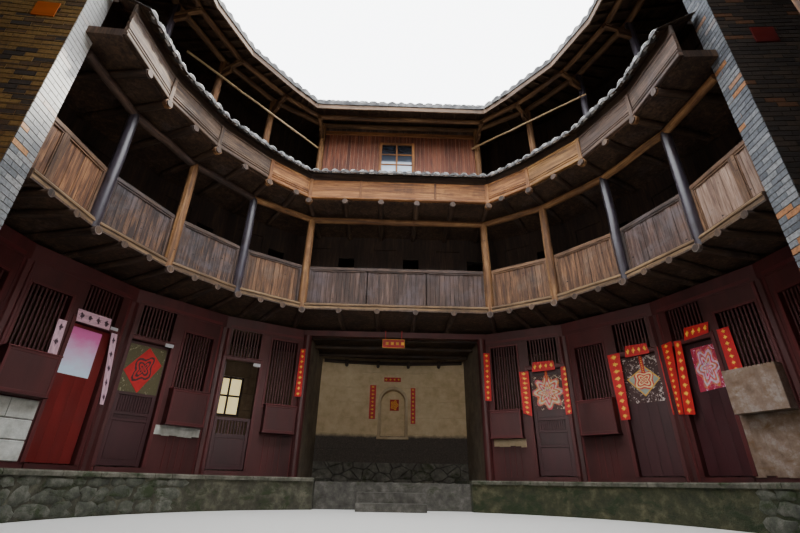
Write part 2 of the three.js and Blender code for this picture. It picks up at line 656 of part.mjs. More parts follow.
function frontPieces() {
  const z0 = PODIUM_TOP + FIT;
  const z1 = SEGMENT_TOP - FIT;
  const wall = alongBays(rectangle(0, FRONT_THICK, z0, z1), FRONT_CORNERS, FRONT_R);
  const corners = cornerPoints(FRONT_CORNERS, FRONT_R, FRONT_THICK / 2 - 20).slice(1, -1);
  const posts = corners.map((at) => post(at, FRONT_POST_R, z0, z1));
  const whole = joined([wall, ...posts, ...CUPBOARDS.map(cupboard)]);
  const { s0, s1, out0, out1 } = CLOSED_DOOR;
  const clear = [
    frontWindow(0, WINDOW_A), frontWindow(1, WINDOW_B), frontWindow(2, WINDOW_C), frontWindow(3, WINDOW_D),
    frontBox(3, s0, s1, -200, out0, DOOR_BOTTOM, DOOR_TOP),
    frontBox(3, s0, s1, out1, 200, DOOR_BOTTOM, DOOR_TOP),
    ...hallCornerSpace(),
    ...DOORS.map((d) => frontBox(d.bay, d.from, d.from + DOOR_WIDE, -400, 400, 0, 5000)),
  ];
  const pieces = clearOfFireWalls(cut(whole, clear)).decompose();
  const angleOf = (m) => {
    const b = m.boundingBox();
    return Math.atan2(b.min[0] + b.max[0], b.min[1] + b.max[1]);
  };
  const ordered = pieces.sort((a, b) => angleOf(a) - angleOf(b));
  return ordered.map((piece, i) => (DOORS[i] ? piece.add(threshold(DOORS[i].bay, DOORS[i].from)) : piece));
}

// Beam over the whole front, with a lintel and short studs around the barred light over each door
function frontBeam() {
  const profile = rectangle(-10, FRONT_THICK + 10, SEGMENT_TOP, GROUND_WALL_TOP);
  const beam = alongBays(profile, FRONT_CORNERS, FRONT_R);
  const lights = DOORS.flatMap(({ bay, from }) => {
    const s0 = from + FIT;
    const s1 = from + DOOR_WIDE - FIT;
    return [
      frontBox(bay, s0, s1, 0, FRONT_THICK, DOOR_TOP, DOOR_TOP + LINTEL_HIGH),
      frontBox(bay, s0, s0 + STUD_WIDE, 0, FRONT_THICK, DOOR_TOP, SEGMENT_TOP + 20),
      frontBox(bay, s1 - STUD_WIDE, s1, 0, FRONT_THICK, DOOR_TOP, SEGMENT_TOP + 20),
    ];
  });
  const hallEnd = [
    box(HALL_POST_X - 400, HALL_BEAM_END + FIT, HALL_POST_Y - 400, HALL_POST_Y + 400, 3000, 4000),
    ...hallCornerSpace(),
  ];
  return clearOfFireWalls(cut(joined([beam, ...lights]), hallEnd));
}

// Ground-floor fronts of the near side, ending in the side wall of the gate hall
const NEAR_FRONT = NEAR_CORNERS.slice(0, 5);
const NEAR_DOOR = { s0: 100, s1: 760, out0: 30, out1: 72 };
const NEAR_WINDOW = { s0: -680, s1: -80, z0: 1900, z1: 3020 };

function nearFront() {
  const z0 = PODIUM_TOP + FIT;
  const z1 = GROUND_WALL_TOP - FIT;
  const wall = alongBays(rectangle(0, FRONT_THICK, z0, z1), NEAR_FRONT, FRONT_R);
  const end = cornerPoints(NEAR_FRONT, FRONT_R, 0).at(-1);
  const side = box(GATE_HALL_HALF + FIT, GATE_HALL_HALF + HALL_SIDE_THICK, -9000, end.y + 30, z0, z1);
  const sideWall = side.intersect(ring(rectangle(4000, WALL_IN_R - FIT, 0, 5000), 180 - 5 * STATION, 180));
  const beyond = box(-3000, GATE_HALL_HALF + FIT, -9000, 0, 0, 5000);
  const [door, window] = [NEAR_DOOR, NEAR_WINDOW];
  const holes = baysOf(NEAR_FRONT, FRONT_R).flatMap((bay) => [
    bayBox(bay, door.s0, door.s1, door.out1, 200, DOOR_BOTTOM, DOOR_TOP),
    bayBox(bay, door.s0, door.s1, -200, door.out0, DOOR_BOTTOM, DOOR_TOP),
    bayBox(bay, window.s0, window.s1, -300, 300, window.z0, window.z1),
  ]);
  return clearOfFireWalls(joined([cut(wall, [...holes, beyond]), sideWall]));
}

// Round earth wall on its stone plinth
const GATE_HALF = 900;
const GATE_TOP = 2850;
const gateSpace = box(-GATE_HALF, GATE_HALF, -10000, -7000, -100, GATE_TOP);

function plinth() {
  const almostRound = 41 * STATION;
  const whole = ring(rectangle(WALL_IN_R, WALL_OUT_R + 60, 0, PLINTH_TOP), -almostRound, almostRound);
  return cut(whole, [gateSpace]);
}

const WALL_PROFILE = [
  [WALL_IN_R, PLINTH_TOP + FIT], [WALL_OUT_R, PLINTH_TOP + FIT],
  [WALL_TOP_OUT_R, WALL_TOP], [WALL_IN_R, WALL_TOP],
];
const NICHE = { x0: -320, x1: 370, bottom: 1574, top: 2829, back: 260 };
const OUTER_WINDOW = { half: 260, z0: 7450, z1: 8250 };
const OUTER_SLIT = { half: 150, z0: 4750, z1: 5450 };
const ROOM_WINDOW = { half: 340, z0: 1870, z1: 2850 };
const ROOM_WINDOW_AT = -31;

function wallHole(angle, hole) {
  return bayBox({ mid: angle, reach: 0 }, -hole.half, hole.half, 8000, 9600, hole.z0, hole.z1);
}

// Arched recess in the hall's back wall
function niche() {
  const wide = NICHE.x1 - NICHE.x0;
  const spring = NICHE.top - wide / 2;
  const shape = new THREE.Shape();
  shape.moveTo(-wide / 2, NICHE.bottom);
  shape.lineTo(wide / 2, NICHE.bottom);
  shape.lineTo(wide / 2, spring);
  shape.absarc(0, spring, wide / 2, 0, Math.PI, false);
  shape.lineTo(-wide / 2, NICHE.bottom);
  const depth = 600 + NICHE.back;
  const g = new THREE.ExtrudeGeometry(shape, { depth, bevelEnabled: false, curveSegments: 12 });
  g.rotateX(Math.PI / 2);
  g.translate((NICHE.x0 + NICHE.x1) / 2, WALL_IN_R + NICHE.back, 0);
  return solid(g);
}

// Piece of the wall from one angle to another, with a window in each room and a slit in every other one
function outerWall(from, to, cuts = []) {
  const whole = ring(WALL_PROFILE, from, to);
  const seam = (angle) => bayBox({ mid: angle, reach: 0 }, -FIT / 2, FIT / 2, 7000, 10000, 0, 10000);
  const modules = [];
  for (let k = Math.floor(from / MODULE) + 1; k * MODULE < to - 1; k++) modules.push(k);
  const windows = modules.map((k) => wallHole(k * MODULE, OUTER_WINDOW));
  const slits = modules.filter((k) => k % 2 !== 0).map((k) => wallHole(k * MODULE, OUTER_SLIT));
  return cut(whole, [seam(from), seam(to), ...windows, ...slits, ...cuts]);
}

// Gateway: stone frame in the outer half of the wall, two leaves standing open behind it
const GATE_CLEAR = 780;
const GATE_CLEAR_TOP = 2700;
const GATE_FRONT = -9375;
const GATE_BACK = -8900;
const GATE_LEAF_END = -8120;

function gateFrame() {
  const block = box(-GATE_HALF + FIT, GATE_HALF - FIT, GATE_FRONT, GATE_BACK, 0, GATE_TOP - FIT);
  return cut(block, [box(-GATE_CLEAR, GATE_CLEAR, -9500, -8800, -100, GATE_CLEAR_TOP)]);
}

function gateLeaf() {
  return box(GATE_CLEAR + 40, GATE_HALF - 15, GATE_BACK + FIT, GATE_LEAF_END, 0, GATE_CLEAR_TOP);
}

// Mirror image on the other side of the courtyard
const mirrored = (body) => body.mirror([1, 0, 0]);

// Hinge pin standing on the threshold or reaching up to the lintel
function hingePin(z0, z1) {
  return post(new THREE.Vector2(0, 0), PIN_R, z0, z1);
}

// Door leaf in its own frame: pins on the axis at one edge, courtyard face towards -Y
function doorLeaf(towards) {
  const wide = DOOR_WIDE - 2 * LEAF_PLAY;
  const high = DOOR_TOP - DOOR_BOTTOM - 2 * LEAF_PLAY;
  const leaf = box(Math.min(0, towards * wide), Math.max(0, towards * wide), -LEAF_THICK, 0, 0, high);
  return joined([
    leaf,
    hingePin(THRESHOLD_TOP + FIT - DOOR_BOTTOM - LEAF_PLAY, PIN_IN_LEAF),
    hingePin(high - PIN_IN_LEAF, high + LEAF_PLAY - FIT),
  ]);
}

// Materials
const EARTH = material(0xb49a74, 0.95);
const STONE = material(0x8d8a7e, 0.9);
const BRICK = material(0x85827a, 0.9);
const PLASTER = material(0xb9a486, 0.9);
const OLD_BOARD = material(0x7a6c58, 0.85);
const HONEY = material(0x9a6234, 0.7);
const MAROON = material(0x4a2a26, 0.75);
const LOG = material(0x7d5230, 0.8);
const TILE = material(0x54545a, 0.85);
const LEAF_RED = material(0x5c2522, 0.7);

function material(color, roughness) {
  return new THREE.MeshStandardMaterial({ color, roughness, metalness: 0 });
}

const house = new THREE.Group();

function addMesh(name, geometry, look, parent = house) {
  const mesh = new THREE.Mesh(geometry, look);
  mesh.name = name;
  parent.add(mesh);
  return mesh;
}

function geometryOf(body) {
  const found = body.getMesh();
  const g = new THREE.BufferGeometry();
  const points = new Float32Array(found.numVert * 3);
  for (let i = 0; i < found.numVert; i++) {
    points.set(found.vertProperties.subarray(i * found.numProp, i * found.numProp + 3), i * 3);
  }
  g.setAttribute("position", new THREE.BufferAttribute(points, 3));
  g.setIndex(new THREE.BufferAttribute(new Uint32Array(found.triVerts), 1));
  g.computeVertexNormals();
  return g;
}

function add(name, body, look) {
  addMesh(name, geometryOf(body), look);
}

function addPair(name, rightBody, look) {
  add(name + "_left", mirrored(rightBody), look);
  add(name + "_right", rightBody, look);
}

// Earth wall, plinth and gateway
const [BACK_END, SIDE_END, FRONT_FROM] = [3 * MODULE, FIRE_WALL_AT, 8 * MODULE];
add("stone_plinth", plinth(), STONE);
const backHoles = [niche(), wallHole(ROOM_WINDOW_AT, ROOM_WINDOW)];
add("outer_wall_back", outerWall(-BACK_END, BACK_END, backHoles), EARTH);
addPair("outer_wall_side", outerWall(BACK_END, SIDE_END), EARTH);
addPair("outer_wall_near", outerWall(SIDE_END, FRONT_FROM), EARTH);
add("outer_wall_front", outerWall(FRONT_FROM, 360 - FRONT_FROM, [gateSpace]), EARTH);
add("gate_frame", gateFrame(), STONE);
addPair("gate_leaf", gateLeaf(), MAROON);

// Podium, hall and fire walls
add("podium_left", podium(-1), STONE);
add("podium_right", podium(1), STONE);
add("hall_floor", hallFloor(), STONE);
add("hall_steps", hallSteps(), STONE);
add("hall_frame", hallFrame(), HONEY);
addPair("hall_side_wall", hallSideWall(), PLASTER);
add("fire_wall_left", fireWall(-1), BRICK);
add("fire_wall_right", fireWall(1), BRICK);

// Ground-floor fronts
frontPieces().forEach((piece, i) => addPair("front_" + (i + 1), piece, MAROON));
addPair("front_beam", frontBeam(), HONEY);
addPair("near_front", nearFront(), MAROON);

// Second floor
add("floor_2_far", floor2Far(), LOG);
add("floor_2_near", floor2Near(), LOG);
add("gallery_frame_2_far", galleryFrame2Far(), HONEY);
add("balustrade_2_far", balustrade2Far(), OLD_BOARD);
add("gallery_2_near", gallery2Near(), OLD_BOARD);
add("room_fronts_2_far", roomFronts(FAR_CORNERS, FLOOR_2_TOP + FIT, FLOOR_3_BOTTOM - FIT), OLD_BOARD);
add("room_fronts_2_near", roomFronts(NEAR_CORNERS, FLOOR_2_TOP + FIT, FLOOR_3_BOTTOM - FIT), OLD_BOARD);

// Third floor
add("floor_3_far", floor3Far(), LOG);
add("floor_3_near", floor3Near(), LOG);
add("fascia_far", fascia(FAR_CORNERS), HONEY);
add("fascia_near", fascia(NEAR_GALLERY), HONEY);
add("gallery_frame_3_far", galleryFrame3(FAR_CORNERS, true), HONEY);
add("gallery_frame_3_near", galleryFrame3(NEAR_GALLERY, false), HONEY);
add("skirt_beam_far", skirtBeam(FAR_CORNERS), HONEY);
add("skirt_beam_near", skirtBeam(NEAR_GALLERY), HONEY);
add("skirt_roof_far", pastFireWalls(skirtRoof(FAR_CORNERS)), TILE);
add("skirt_roof_near", skirtRoof(NEAR_GALLERY), TILE);
add("hall_window_wall", hallWindowWall(), HONEY);
add("room_fronts_3_far", roomFronts(FAR_CORNERS, FLOOR_3_TOP + FIT, ROOM_FRONT_TOP), OLD_BOARD);
add("room_fronts_3_near", roomFronts(NEAR_CORNERS, FLOOR_3_TOP + FIT, ROOM_FRONT_TOP), OLD_BOARD);

// Main roof in two halves that meet over the fire walls
const SEAM = FIRE_WALL_AT;
const seamAt = (a) => bayBox({ mid: a, reach: 0 }, -FIT, FIT, 2000, 12000, 8000, 12000);
const roofSeams = [-SEAM, SEAM].map(seamAt);
add("main_roof_far", cut(mainRoof(-SEAM, SEAM), roofSeams), TILE);
add("main_roof_near", cut(mainRoof(SEAM, 360 - SEAM), roofSeams), TILE);

// Doors that open, each hung at the side away from its window
function addDoor(name, side, door, openDeg) {
  const bay = frontBays()[door.bay];
  const hingeAtEnd = door.bay !== 2;
  const edge = hingeAtEnd ? door.from + DOOR_WIDE - LEAF_PLAY : door.from + LEAF_PLAY;
  const towards = hingeAtEnd ? -side : side;
  const hinge = new THREE.Group();
  const at = bayPoint(bay, edge - FRONT_BAY / 2, FRONT_THICK);
  hinge.position.set(side * at.x, at.y, DOOR_BOTTOM + LEAF_PLAY);
  hinge.rotation.z = -rad(side * bay.mid) + rad(openDeg) * towards;
  house.add(hinge);
  addMesh(name, geometryOf(doorLeaf(towards)), LEAF_RED, hinge);
}

const OPEN_LEAF = 88;
DOORS.forEach((door, i) => {
  addDoor("door_right_" + (i + 1), 1, door, 0);
  addDoor("door_left_" + (i + 1), -1, door, i === 0 ? OPEN_LEAF : 0);
});

// Half gate in the doorway of the left room beside the hall
const HALF_GATE_HIGH = 950;
const HALF_GATE_THICK = 32;

function addHalfGate() {
  const door = DOORS[0];
  const bay = frontBays()[door.bay];
  const wide = DOOR_WIDE - 2 * LEAF_PLAY;
  const hinge = new THREE.Group();
  const at = bayPoint(bay, door.from + DOOR_WIDE - LEAF_PLAY - FRONT_BAY / 2, 0);
  hinge.position.set(-at.x, at.y, DOOR_BOTTOM + LEAF_PLAY);
  hinge.rotation.z = rad(bay.mid);
  const leaf = box(0, wide, 0, HALF_GATE_THICK, 0, HALF_GATE_HIGH);
  const pin = hingePin(THRESHOLD_TOP + FIT - DOOR_BOTTOM - LEAF_PLAY, HALF_GATE_HIGH - 20);
  house.add(hinge);
  addMesh("half_gate_left", geometryOf(joined([leaf, pin])), LEAF_RED, hinge);
}

addHalfGate();

export default house;
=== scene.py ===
"""Looks of the round earth house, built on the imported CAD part. Lengths in the code are millimetres."""
import functools
import math
import bpy
import numpy as np
from mathutils import Matrix, Vector


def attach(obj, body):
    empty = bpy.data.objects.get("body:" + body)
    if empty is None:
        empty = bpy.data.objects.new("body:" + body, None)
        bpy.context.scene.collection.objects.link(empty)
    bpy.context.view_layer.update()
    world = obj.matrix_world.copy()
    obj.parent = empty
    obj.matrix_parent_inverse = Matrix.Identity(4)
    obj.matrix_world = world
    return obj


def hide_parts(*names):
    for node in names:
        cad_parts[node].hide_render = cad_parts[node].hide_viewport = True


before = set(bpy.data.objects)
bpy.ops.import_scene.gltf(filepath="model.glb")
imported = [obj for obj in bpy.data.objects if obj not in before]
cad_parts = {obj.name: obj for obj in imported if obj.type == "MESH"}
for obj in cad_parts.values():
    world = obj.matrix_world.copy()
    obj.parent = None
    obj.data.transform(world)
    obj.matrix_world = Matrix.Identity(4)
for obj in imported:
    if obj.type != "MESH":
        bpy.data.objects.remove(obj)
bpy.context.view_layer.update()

rng = np.random.default_rng(11)
HOUSE = "house"

# Plan and heights, as in the CAD part
MODULE = 120 / 7
FAR_CORNERS = [k * MODULE for k in (-5.5, -4.5, -3.5, -2.5, -1.5, 1.5, 2.5, 3.5, 4.5, 5.5)]
NEAR_GALLERY = [k * MODULE for k in (6.5, 7.5, 8.5, 9.5, 11.5, 12.5, 13.5, 14.5)]
ALL_CORNERS = FAR_CORNERS + NEAR_GALLERY + [15.5 * MODULE]
HALL_CORNER = 1.5 * MODULE
DEEP_OVERHANG = -500
GALLERY_R = 4700
WALL_IN_R = 8225
FLOOR_2_TOP = 3850
RAIL_TOP = 4750
RING_LOG_2 = 5964
FLOOR_3_TOP = 6300
FASCIA_BOTTOM = 6191
FASCIA_TOP = 6901
FASCIA_OUT = -587
RING_LOG_3 = 8940
EAVE_OUT = -961
EAVE_BOTTOM = 8592
EAVE_TOP = 8858
RIDGE_R = 6900
RIDGE_TOP = 10465
OUTER_EAVE_R = 10500
OUTER_EAVE_TOP = 8665
SKIRT_EDGE_OUT, SKIRT_EDGE_TOP = -775, 6858
SKIRT_BACK_OUT, SKIRT_BACK_TOP = -95, 7240
FRONT_R = math.hypot(2040, 5380)
FRONT_START = math.degrees(math.atan2(2040, 5380))
FRONT_STEP = (5.5 * MODULE - FRONT_START) / 4
FRONT_BAY = 2 * FRONT_R * math.sin(math.radians(FRONT_STEP / 2))
FRONT_THICK = 120
DOOR_BOTTOM, DOOR_TOP, DOOR_WIDE, DOOR_PLAY, LEAF_THICK = 580, 2670, 710, 8, 42
LIGHT_BOTTOM, LIGHT_TOP = 2760, 3330
FIRE_WALL_AT = 5.5 * MODULE
FIRE_WALL_THICK = 390
FIRE_WALL_IN_R = 4650

# Sizes that only the looks need
FASCIA_FOOT = 6258
TILE_PITCH = 225
TILE_BED = 42
RAFTER_LOW, RAFTER_HIGH = -214, -128
LINING_LOW, LINING_HIGH = -126, -104
EAVE_PURLIN_OUT, EAVE_PURLIN_Z = -560, 8690
BOARD_LOW, BOARD_HIGH = FLOOR_2_TOP + 12, RAIL_TOP - 78
OUTER_SLOPE = (RIDGE_TOP - OUTER_EAVE_TOP) / (OUTER_EAVE_R - RIDGE_R)
LOG_CUT, LOG_LAP = 215, 12
PIN_RADIUS, PIN_SIDES = 6, 10
PAPER_THICK, PAPER_WAVE, PAPER_ROWS, PAPER_COLUMNS = 2.5, 2.5, 9, 4
SMOOTH_ANGLE = 40

# Places in ALL_CORNERS that lie in the fire walls
FIRE_WALL_CORNERS = (0, 9, 18)


def sin_of(angle):
    return math.sin(math.radians(angle))


def cos_of(angle):
    return math.cos(math.radians(angle))


def direction(angle):
    return np.array([sin_of(angle), cos_of(angle)])


def pairs(values):
    """Each value with the one after it."""
    return zip(values, values[1:])


def circle(sides):
    return np.linspace(0, 2 * math.pi, sides, endpoint=False)


def oblong(a0, a1, b0, b1):
    """Corners of a rectangle in turn."""
    return [(a0, b0), (a1, b0), (a1, b1), (a0, b1)]


def run_of(points):
    """Length in metres from the first point to each point of a line."""
    steps = np.linalg.norm(np.diff(points, axis=0), axis=1)
    return np.concatenate([[0], np.cumsum(steps)]) / 1000


def inside_out(points, faces):
    """Whether the four-sided faces of a closed skin face inwards, from the sign of its volume."""
    a, b, c, d = (points[faces[:, q]] - points.mean(0) for q in range(4))
    volume = np.einsum("ij,ij->i", a, np.cross(b, c)).sum()
    volume += np.einsum("ij,ij->i", a, np.cross(c, d)).sum()
    return volume < 0


def new_object(name, data):
    ob = bpy.data.objects.new(name, data)
    bpy.context.scene.collection.objects.link(ob)
    return ob


# Places: each turns (s, out, z) of a line into the frame of the part
class Bay:
    """A straight bay seen from the yard: s to the right, out away from the yard."""

    def __init__(self, mid, reach, half, flip=1, index=None):
        self.mid, self.reach, self.half = mid, reach, half
        self.flip, self.index = flip, index
        self.tan = half / reach if reach else 0
        self.sin, self.cos = sin_of(mid), cos_of(mid)

    def __call__(self, p):
        p = np.asarray(p, float)
        d = self.reach + p[..., 1]
        x = d * self.sin + p[..., 0] * self.cos
        y = d * self.cos - p[..., 0] * self.sin
        return np.stack([self.flip * x, y, p[..., 2]], -1)

    def end(self, out):
        """Half the bay's width at this depth, where it meets the next bay."""
        return (self.reach + out) * self.tan

    def half_angle(self):
        return math.degrees(math.atan2(self.half, self.reach))


def bays_of(corners, radius):
    bays = []
    for i, (a, b) in enumerate(pairs(corners)):
        half = (b - a) / 2
        bays.append(Bay((a + b) / 2, radius * cos_of(half), radius * sin_of(half), index=i))
    return bays


BAYS = bays_of(ALL_CORNERS, GALLERY_R)
FAR, SIDE_BAYS, NEAR = BAYS[:9], [BAYS[9], BAYS[17]], BAYS[10:17]


@functools.lru_cache(maxsize=None)
def corners_at(out):
    """Corners of the line this far outside the posts; deep overhangs run straight on at the hall."""
    points = []
    for i, angle in enumerate(ALL_CORNERS):
        base = GALLERY_R * direction(angle)
        if out < DEEP_OVERHANG and abs(abs(angle) - HALL_CORNER) < 1:
            points.append(base + [0, out])
            continue
        before, after = BAYS[i - 1], BAYS[i % len(BAYS)]
        turn = ((after.mid - before.mid + 540) % 360 - 180) / 2
        points.append(base + out / cos_of(turn) * direction(before.mid + turn))
    return np.array(points)


def edge_of(bay, out):
    return corners_at(out)[bay.index], corners_at(out)[bay.index + 1]


def edge_place(bay, out, z):
    """Place on the edge of an overhang: u along it, o back from it, h up. Gives its length too."""
    a, b = edge_of(bay, out)
    long = np.linalg.norm(b - a)
    along = (b - a) / long
    back = np.array([-along[1], along[0]])

    def place(u, o, h):
        return [*(a + along * u + back * o), z + h]
    return place, long


def front_line(side, index):
    """A ground-floor bay, s measured from its middle."""
    mid = FRONT_START + FRONT_STEP * (index + 0.5)
    return Bay(mid, FRONT_R * cos_of(FRONT_STEP / 2), FRONT_BAY / 2, side)


def front_bay(side, index):
    """A ground-floor bay, s measured from its end nearer the hall."""
    line = front_line(side, index)
    return lambda p: line(np.asarray(p, float) - [FRONT_BAY / 2, 0, 0])


def spoke(angle, section):
    """Points of a section of (distance from the middle of the yard, z) in one direction."""
    place = Bay(angle, 0, 1)
    return [place([0, r, z]) for r, z in section]


def plain(p):
    return np.asarray(p, float)


# Shapes
class Shape:
    """Collects faces in millimetres, with a map in metres whose V runs along the grain."""

    def __init__(self):
        self.points, self.loops, self.sizes, self.maps, self.smooth = [], [], [], [], []
        self.count = 0

    def add(self, points, faces, maps, smooth=False):
        self.points.append(points)
        self.loops.append((faces + self.count).ravel())
        self.sizes.append(np.full(len(faces), faces.shape[1]))
        self.maps.append(maps.reshape(-1, 2))
        self.smooth.append(np.full(len(faces), smooth))
        self.count += len(points)

    def sweep(self, rows, smooth=False):
        """Closed skin with flat ends over rows of points; each row is one section along the grain."""
        rows = np.asarray(rows, float)
        m, n = rows.shape[:2]
        along = run_of(rows.mean(1))
        around = run_of(np.concatenate([rows[0], rows[0][:1]]))
        shift = (rng.integers(0, 400) * 1.37, rng.random() * 9)
        i, j = (k.ravel() for k in np.meshgrid(np.arange(m - 1), np.arange(n), indexing="ij"))
        after = (j + 1) % n
        faces = np.stack([i * n + j, i * n + after, (i + 1) * n + after, (i + 1) * n + j], 1)
        u = np.stack([around[j], around[j + 1], around[j + 1], around[j]], 1) + shift[0]
        v = np.stack([along[i], along[i], along[i + 1], along[i + 1]], 1) + shift[1]
        maps = np.stack([u, v], -1)
        points = rows.reshape(-1, 3)
        start, stop = np.arange(n), (m - 1) * n + np.arange(n)
        ends = (start[::-1], stop)
        if inside_out(points, faces):
            faces, maps, ends = faces[:, ::-1], maps[:, ::-1], (start, stop[::-1])
        base = self.count
        self.add(points, faces, maps, smooth)
        for loop in ends:
            self.cap(points[loop], loop + base, shift)

    def cap(self, points, loop, shift):
        """A flat end, its map laid along its first edge."""
        edge = points[1] - points[0]
        edge = edge / (np.linalg.norm(edge) + 1e-9)
        away = points - points[0]
        side = away - np.outer(away @ edge, edge)
        self.loops.append(loop)
        self.sizes.append(np.array([len(loop)]))
        self.maps.append(np.stack([away @ edge, np.linalg.norm(side, axis=1)], 1) / 1000 + shift)
        self.smooth.append(np.array([False]))

    def block(self, place, s, out, z, grain="z", ease=0, rows=2):
        """A board or bar; its long edges are eased by so many millimetres."""
        lo, hi = (np.array([s[k], out[k], z[k]], float) for k in (0, 1))
        axis = {"s": 0, "out": 1, "z": 2}[grain]
        a, b = (axis + 1) % 3, (axis + 2) % 3
        e = ease
        if e:
            outline = [(lo[a] + e, lo[b]), (hi[a] - e, lo[b]), (hi[a], lo[b] + e), (hi[a], hi[b] - e),
                       (hi[a] - e, hi[b]), (lo[a] + e, hi[b]), (lo[a], hi[b] - e), (lo[a], lo[b] + e)]
        else:
            outline = oblong(lo[a], hi[a], lo[b], hi[b])
        section = np.zeros((len(outline), 3))
        section[:, [a, b]] = outline
        sections = []
        for t in np.linspace(lo[axis], hi[axis], rows):
            section[:, axis] = t
            sections.append(place(section.copy()))
        self.sweep(sections)

    def rail(self, bay, profile, trim=(0, 0)):
        """A moulding along a bay with mitred ends; the profile holds (out, z) points."""
        rows = []
        for t in (0, 0.33, 0.67, 1):
            row = []
            for out, z in profile:
                a, b = edge_of(bay, out)
                long = np.linalg.norm(b - a)
                u = trim[0] + (long - trim[0] - trim[1]) * t
                row.append([*(a + (b - a) / long * u), z])
            rows.append(row)
        self.sweep(rows)

    def sheet(self, place, quad, out):
        """Thin pasted paper with corners given as (s, z): low left, low right, high right, high left."""
        rows, n = PAPER_ROWS, PAPER_COLUMNS
        q = np.array(quad, float)
        t, u = np.linspace(0, 1, rows), np.linspace(0, 1, n)
        low = q[0] + np.outer(u, q[1] - q[0])
        high = q[3] + np.outer(u, q[2] - q[3])
        grid = low[None] + t[:, None, None] * (high - low)[None]
        lift = PAPER_WAVE * rng.random((rows, n))
        front = np.stack([grid[..., 0], out - PAPER_THICK - lift, grid[..., 1]], -1)
        back = np.stack([grid[..., 0], np.full((rows, n), out, float), grid[..., 1]], -1)
        points = place(np.concatenate([front.reshape(-1, 3), back.reshape(-1, 3)]))
        k = rows * n
        faces, maps = [], []
        uv = [(x, y) for y in t for x in u]
        for i in range(rows - 1):
            for j in range(n - 1):
                p = [i * n + j, i * n + j + 1, (i + 1) * n + j + 1, (i + 1) * n + j]
                faces += [p, [v + k for v in p[::-1]]]
                maps += [[uv[v] for v in p], [uv[v] for v in p[::-1]]]
        rim = [*range(n)] + [i * n + n - 1 for i in range(1, rows)]
        rim += [(rows - 1) * n + j for j in range(n - 2, -1, -1)] + [i * n for i in range(rows - 2, 0, -1)]
        for a, b in zip(rim, rim[1:] + rim[:1]):
            faces.append([b, a, a + k, b + k])
            maps.append([uv[b], uv[a], uv[a], uv[b]])
        faces, maps = np.array(faces), np.array(maps, float)
        a, b, c = (points[faces[0][v]] for v in (0, 1, 2))
        if np.cross(b - a, c - a) @ (points[k] - points[0]) > 0:
            faces, maps = faces[:, ::-1], maps[:, ::-1]
        self.add(points, faces, maps, False)

    def stone(self, centre, along, up, proud, size, sides):
        """A rounded field stone on a wall face; size is half width, half height and depth."""
        turn = circle(sides)
        shape = 1 + 0.16 * rng.standard_normal(sides)
        rows = []
        for ring, depth in ((1.0, -0.3), (0.97, 0.35), (0.8, 0.75), (0.45, 0.97), (0.06, 1.0)):
            flat = np.outer(np.cos(turn) * shape * ring * size[0], along)
            flat = flat + np.outer(np.sin(turn) * shape * ring * size[1], up)
            row = np.asarray(centre) + flat + np.asarray(proud) * size[2] * depth
            row[:, 2] = np.maximum(row[:, 2], 2)
            rows.append(row)
        self.sweep(rows, smooth=True)

    def log(self, a, b, r0, r1, sides, rows, wobble):
        """A round log from a to b, a little crooked."""
        a, b = np.asarray(a, float), np.asarray(b, float)
        d = (b - a) / np.linalg.norm(b - a)
        x = np.cross(d, [0, 0, 1] if abs(d[2]) < 0.9 else [0, 1, 0])
        x /= np.linalg.norm(x)
        y = np.cross(d, x)
        turn = circle(sides)
        lump = 1 + 0.03 * rng.standard_normal(sides)
        ring = np.outer(np.cos(turn) * lump, x) + np.outer(np.sin(turn) * lump, y)
        sections = []
        for t in np.linspace(0, 1, rows):
            off = (x * rng.standard_normal() + y * rng.standard_normal()) * wobble * math.sin(math.pi * t)
            sections.append(a + (b - a) * t + off + ring * (r0 + (r1 - r0) * t))
        self.sweep(sections, smooth=True)

    def fill(self, mesh):
        """Writes the collected faces into a mesh."""
        points = np.concatenate(self.points) / 1000
        loops = np.concatenate(self.loops)
        sizes = np.concatenate(self.sizes)
        smooth = np.concatenate(self.smooth)
        mesh.vertices.add(len(points))
        mesh.vertices.foreach_set("co", points.astype(np.float32).ravel())
        mesh.loops.add(len(loops))
        mesh.loops.foreach_set("vertex_index", loops.astype(np.int32))
        mesh.polygons.add(len(sizes))
        starts = np.concatenate([[0], np.cumsum(sizes)[:-1]])
        mesh.polygons.foreach_set("loop_start", starts.astype(np.int32))
        mesh.polygons.foreach_set("use_smooth", smooth)
        layer = mesh.uv_layers.new(name="grain")
        layer.data.foreach_set("uv", np.concatenate(self.maps).astype(np.float32).ravel())
        mesh.update(calc_edges=True)
        mesh.validate()
        if smooth.any():
            mesh.set_sharp_from_angle(angle=math.radians(SMOOTH_ANGLE))

    def make(self, name, look, slot, body=HOUSE):
        mesh = bpy.data.meshes.new(name)
        self.fill(mesh)
        mesh.materials.append(look)
        ob = new_object(name, mesh)
        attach(ob, body)
        return ob


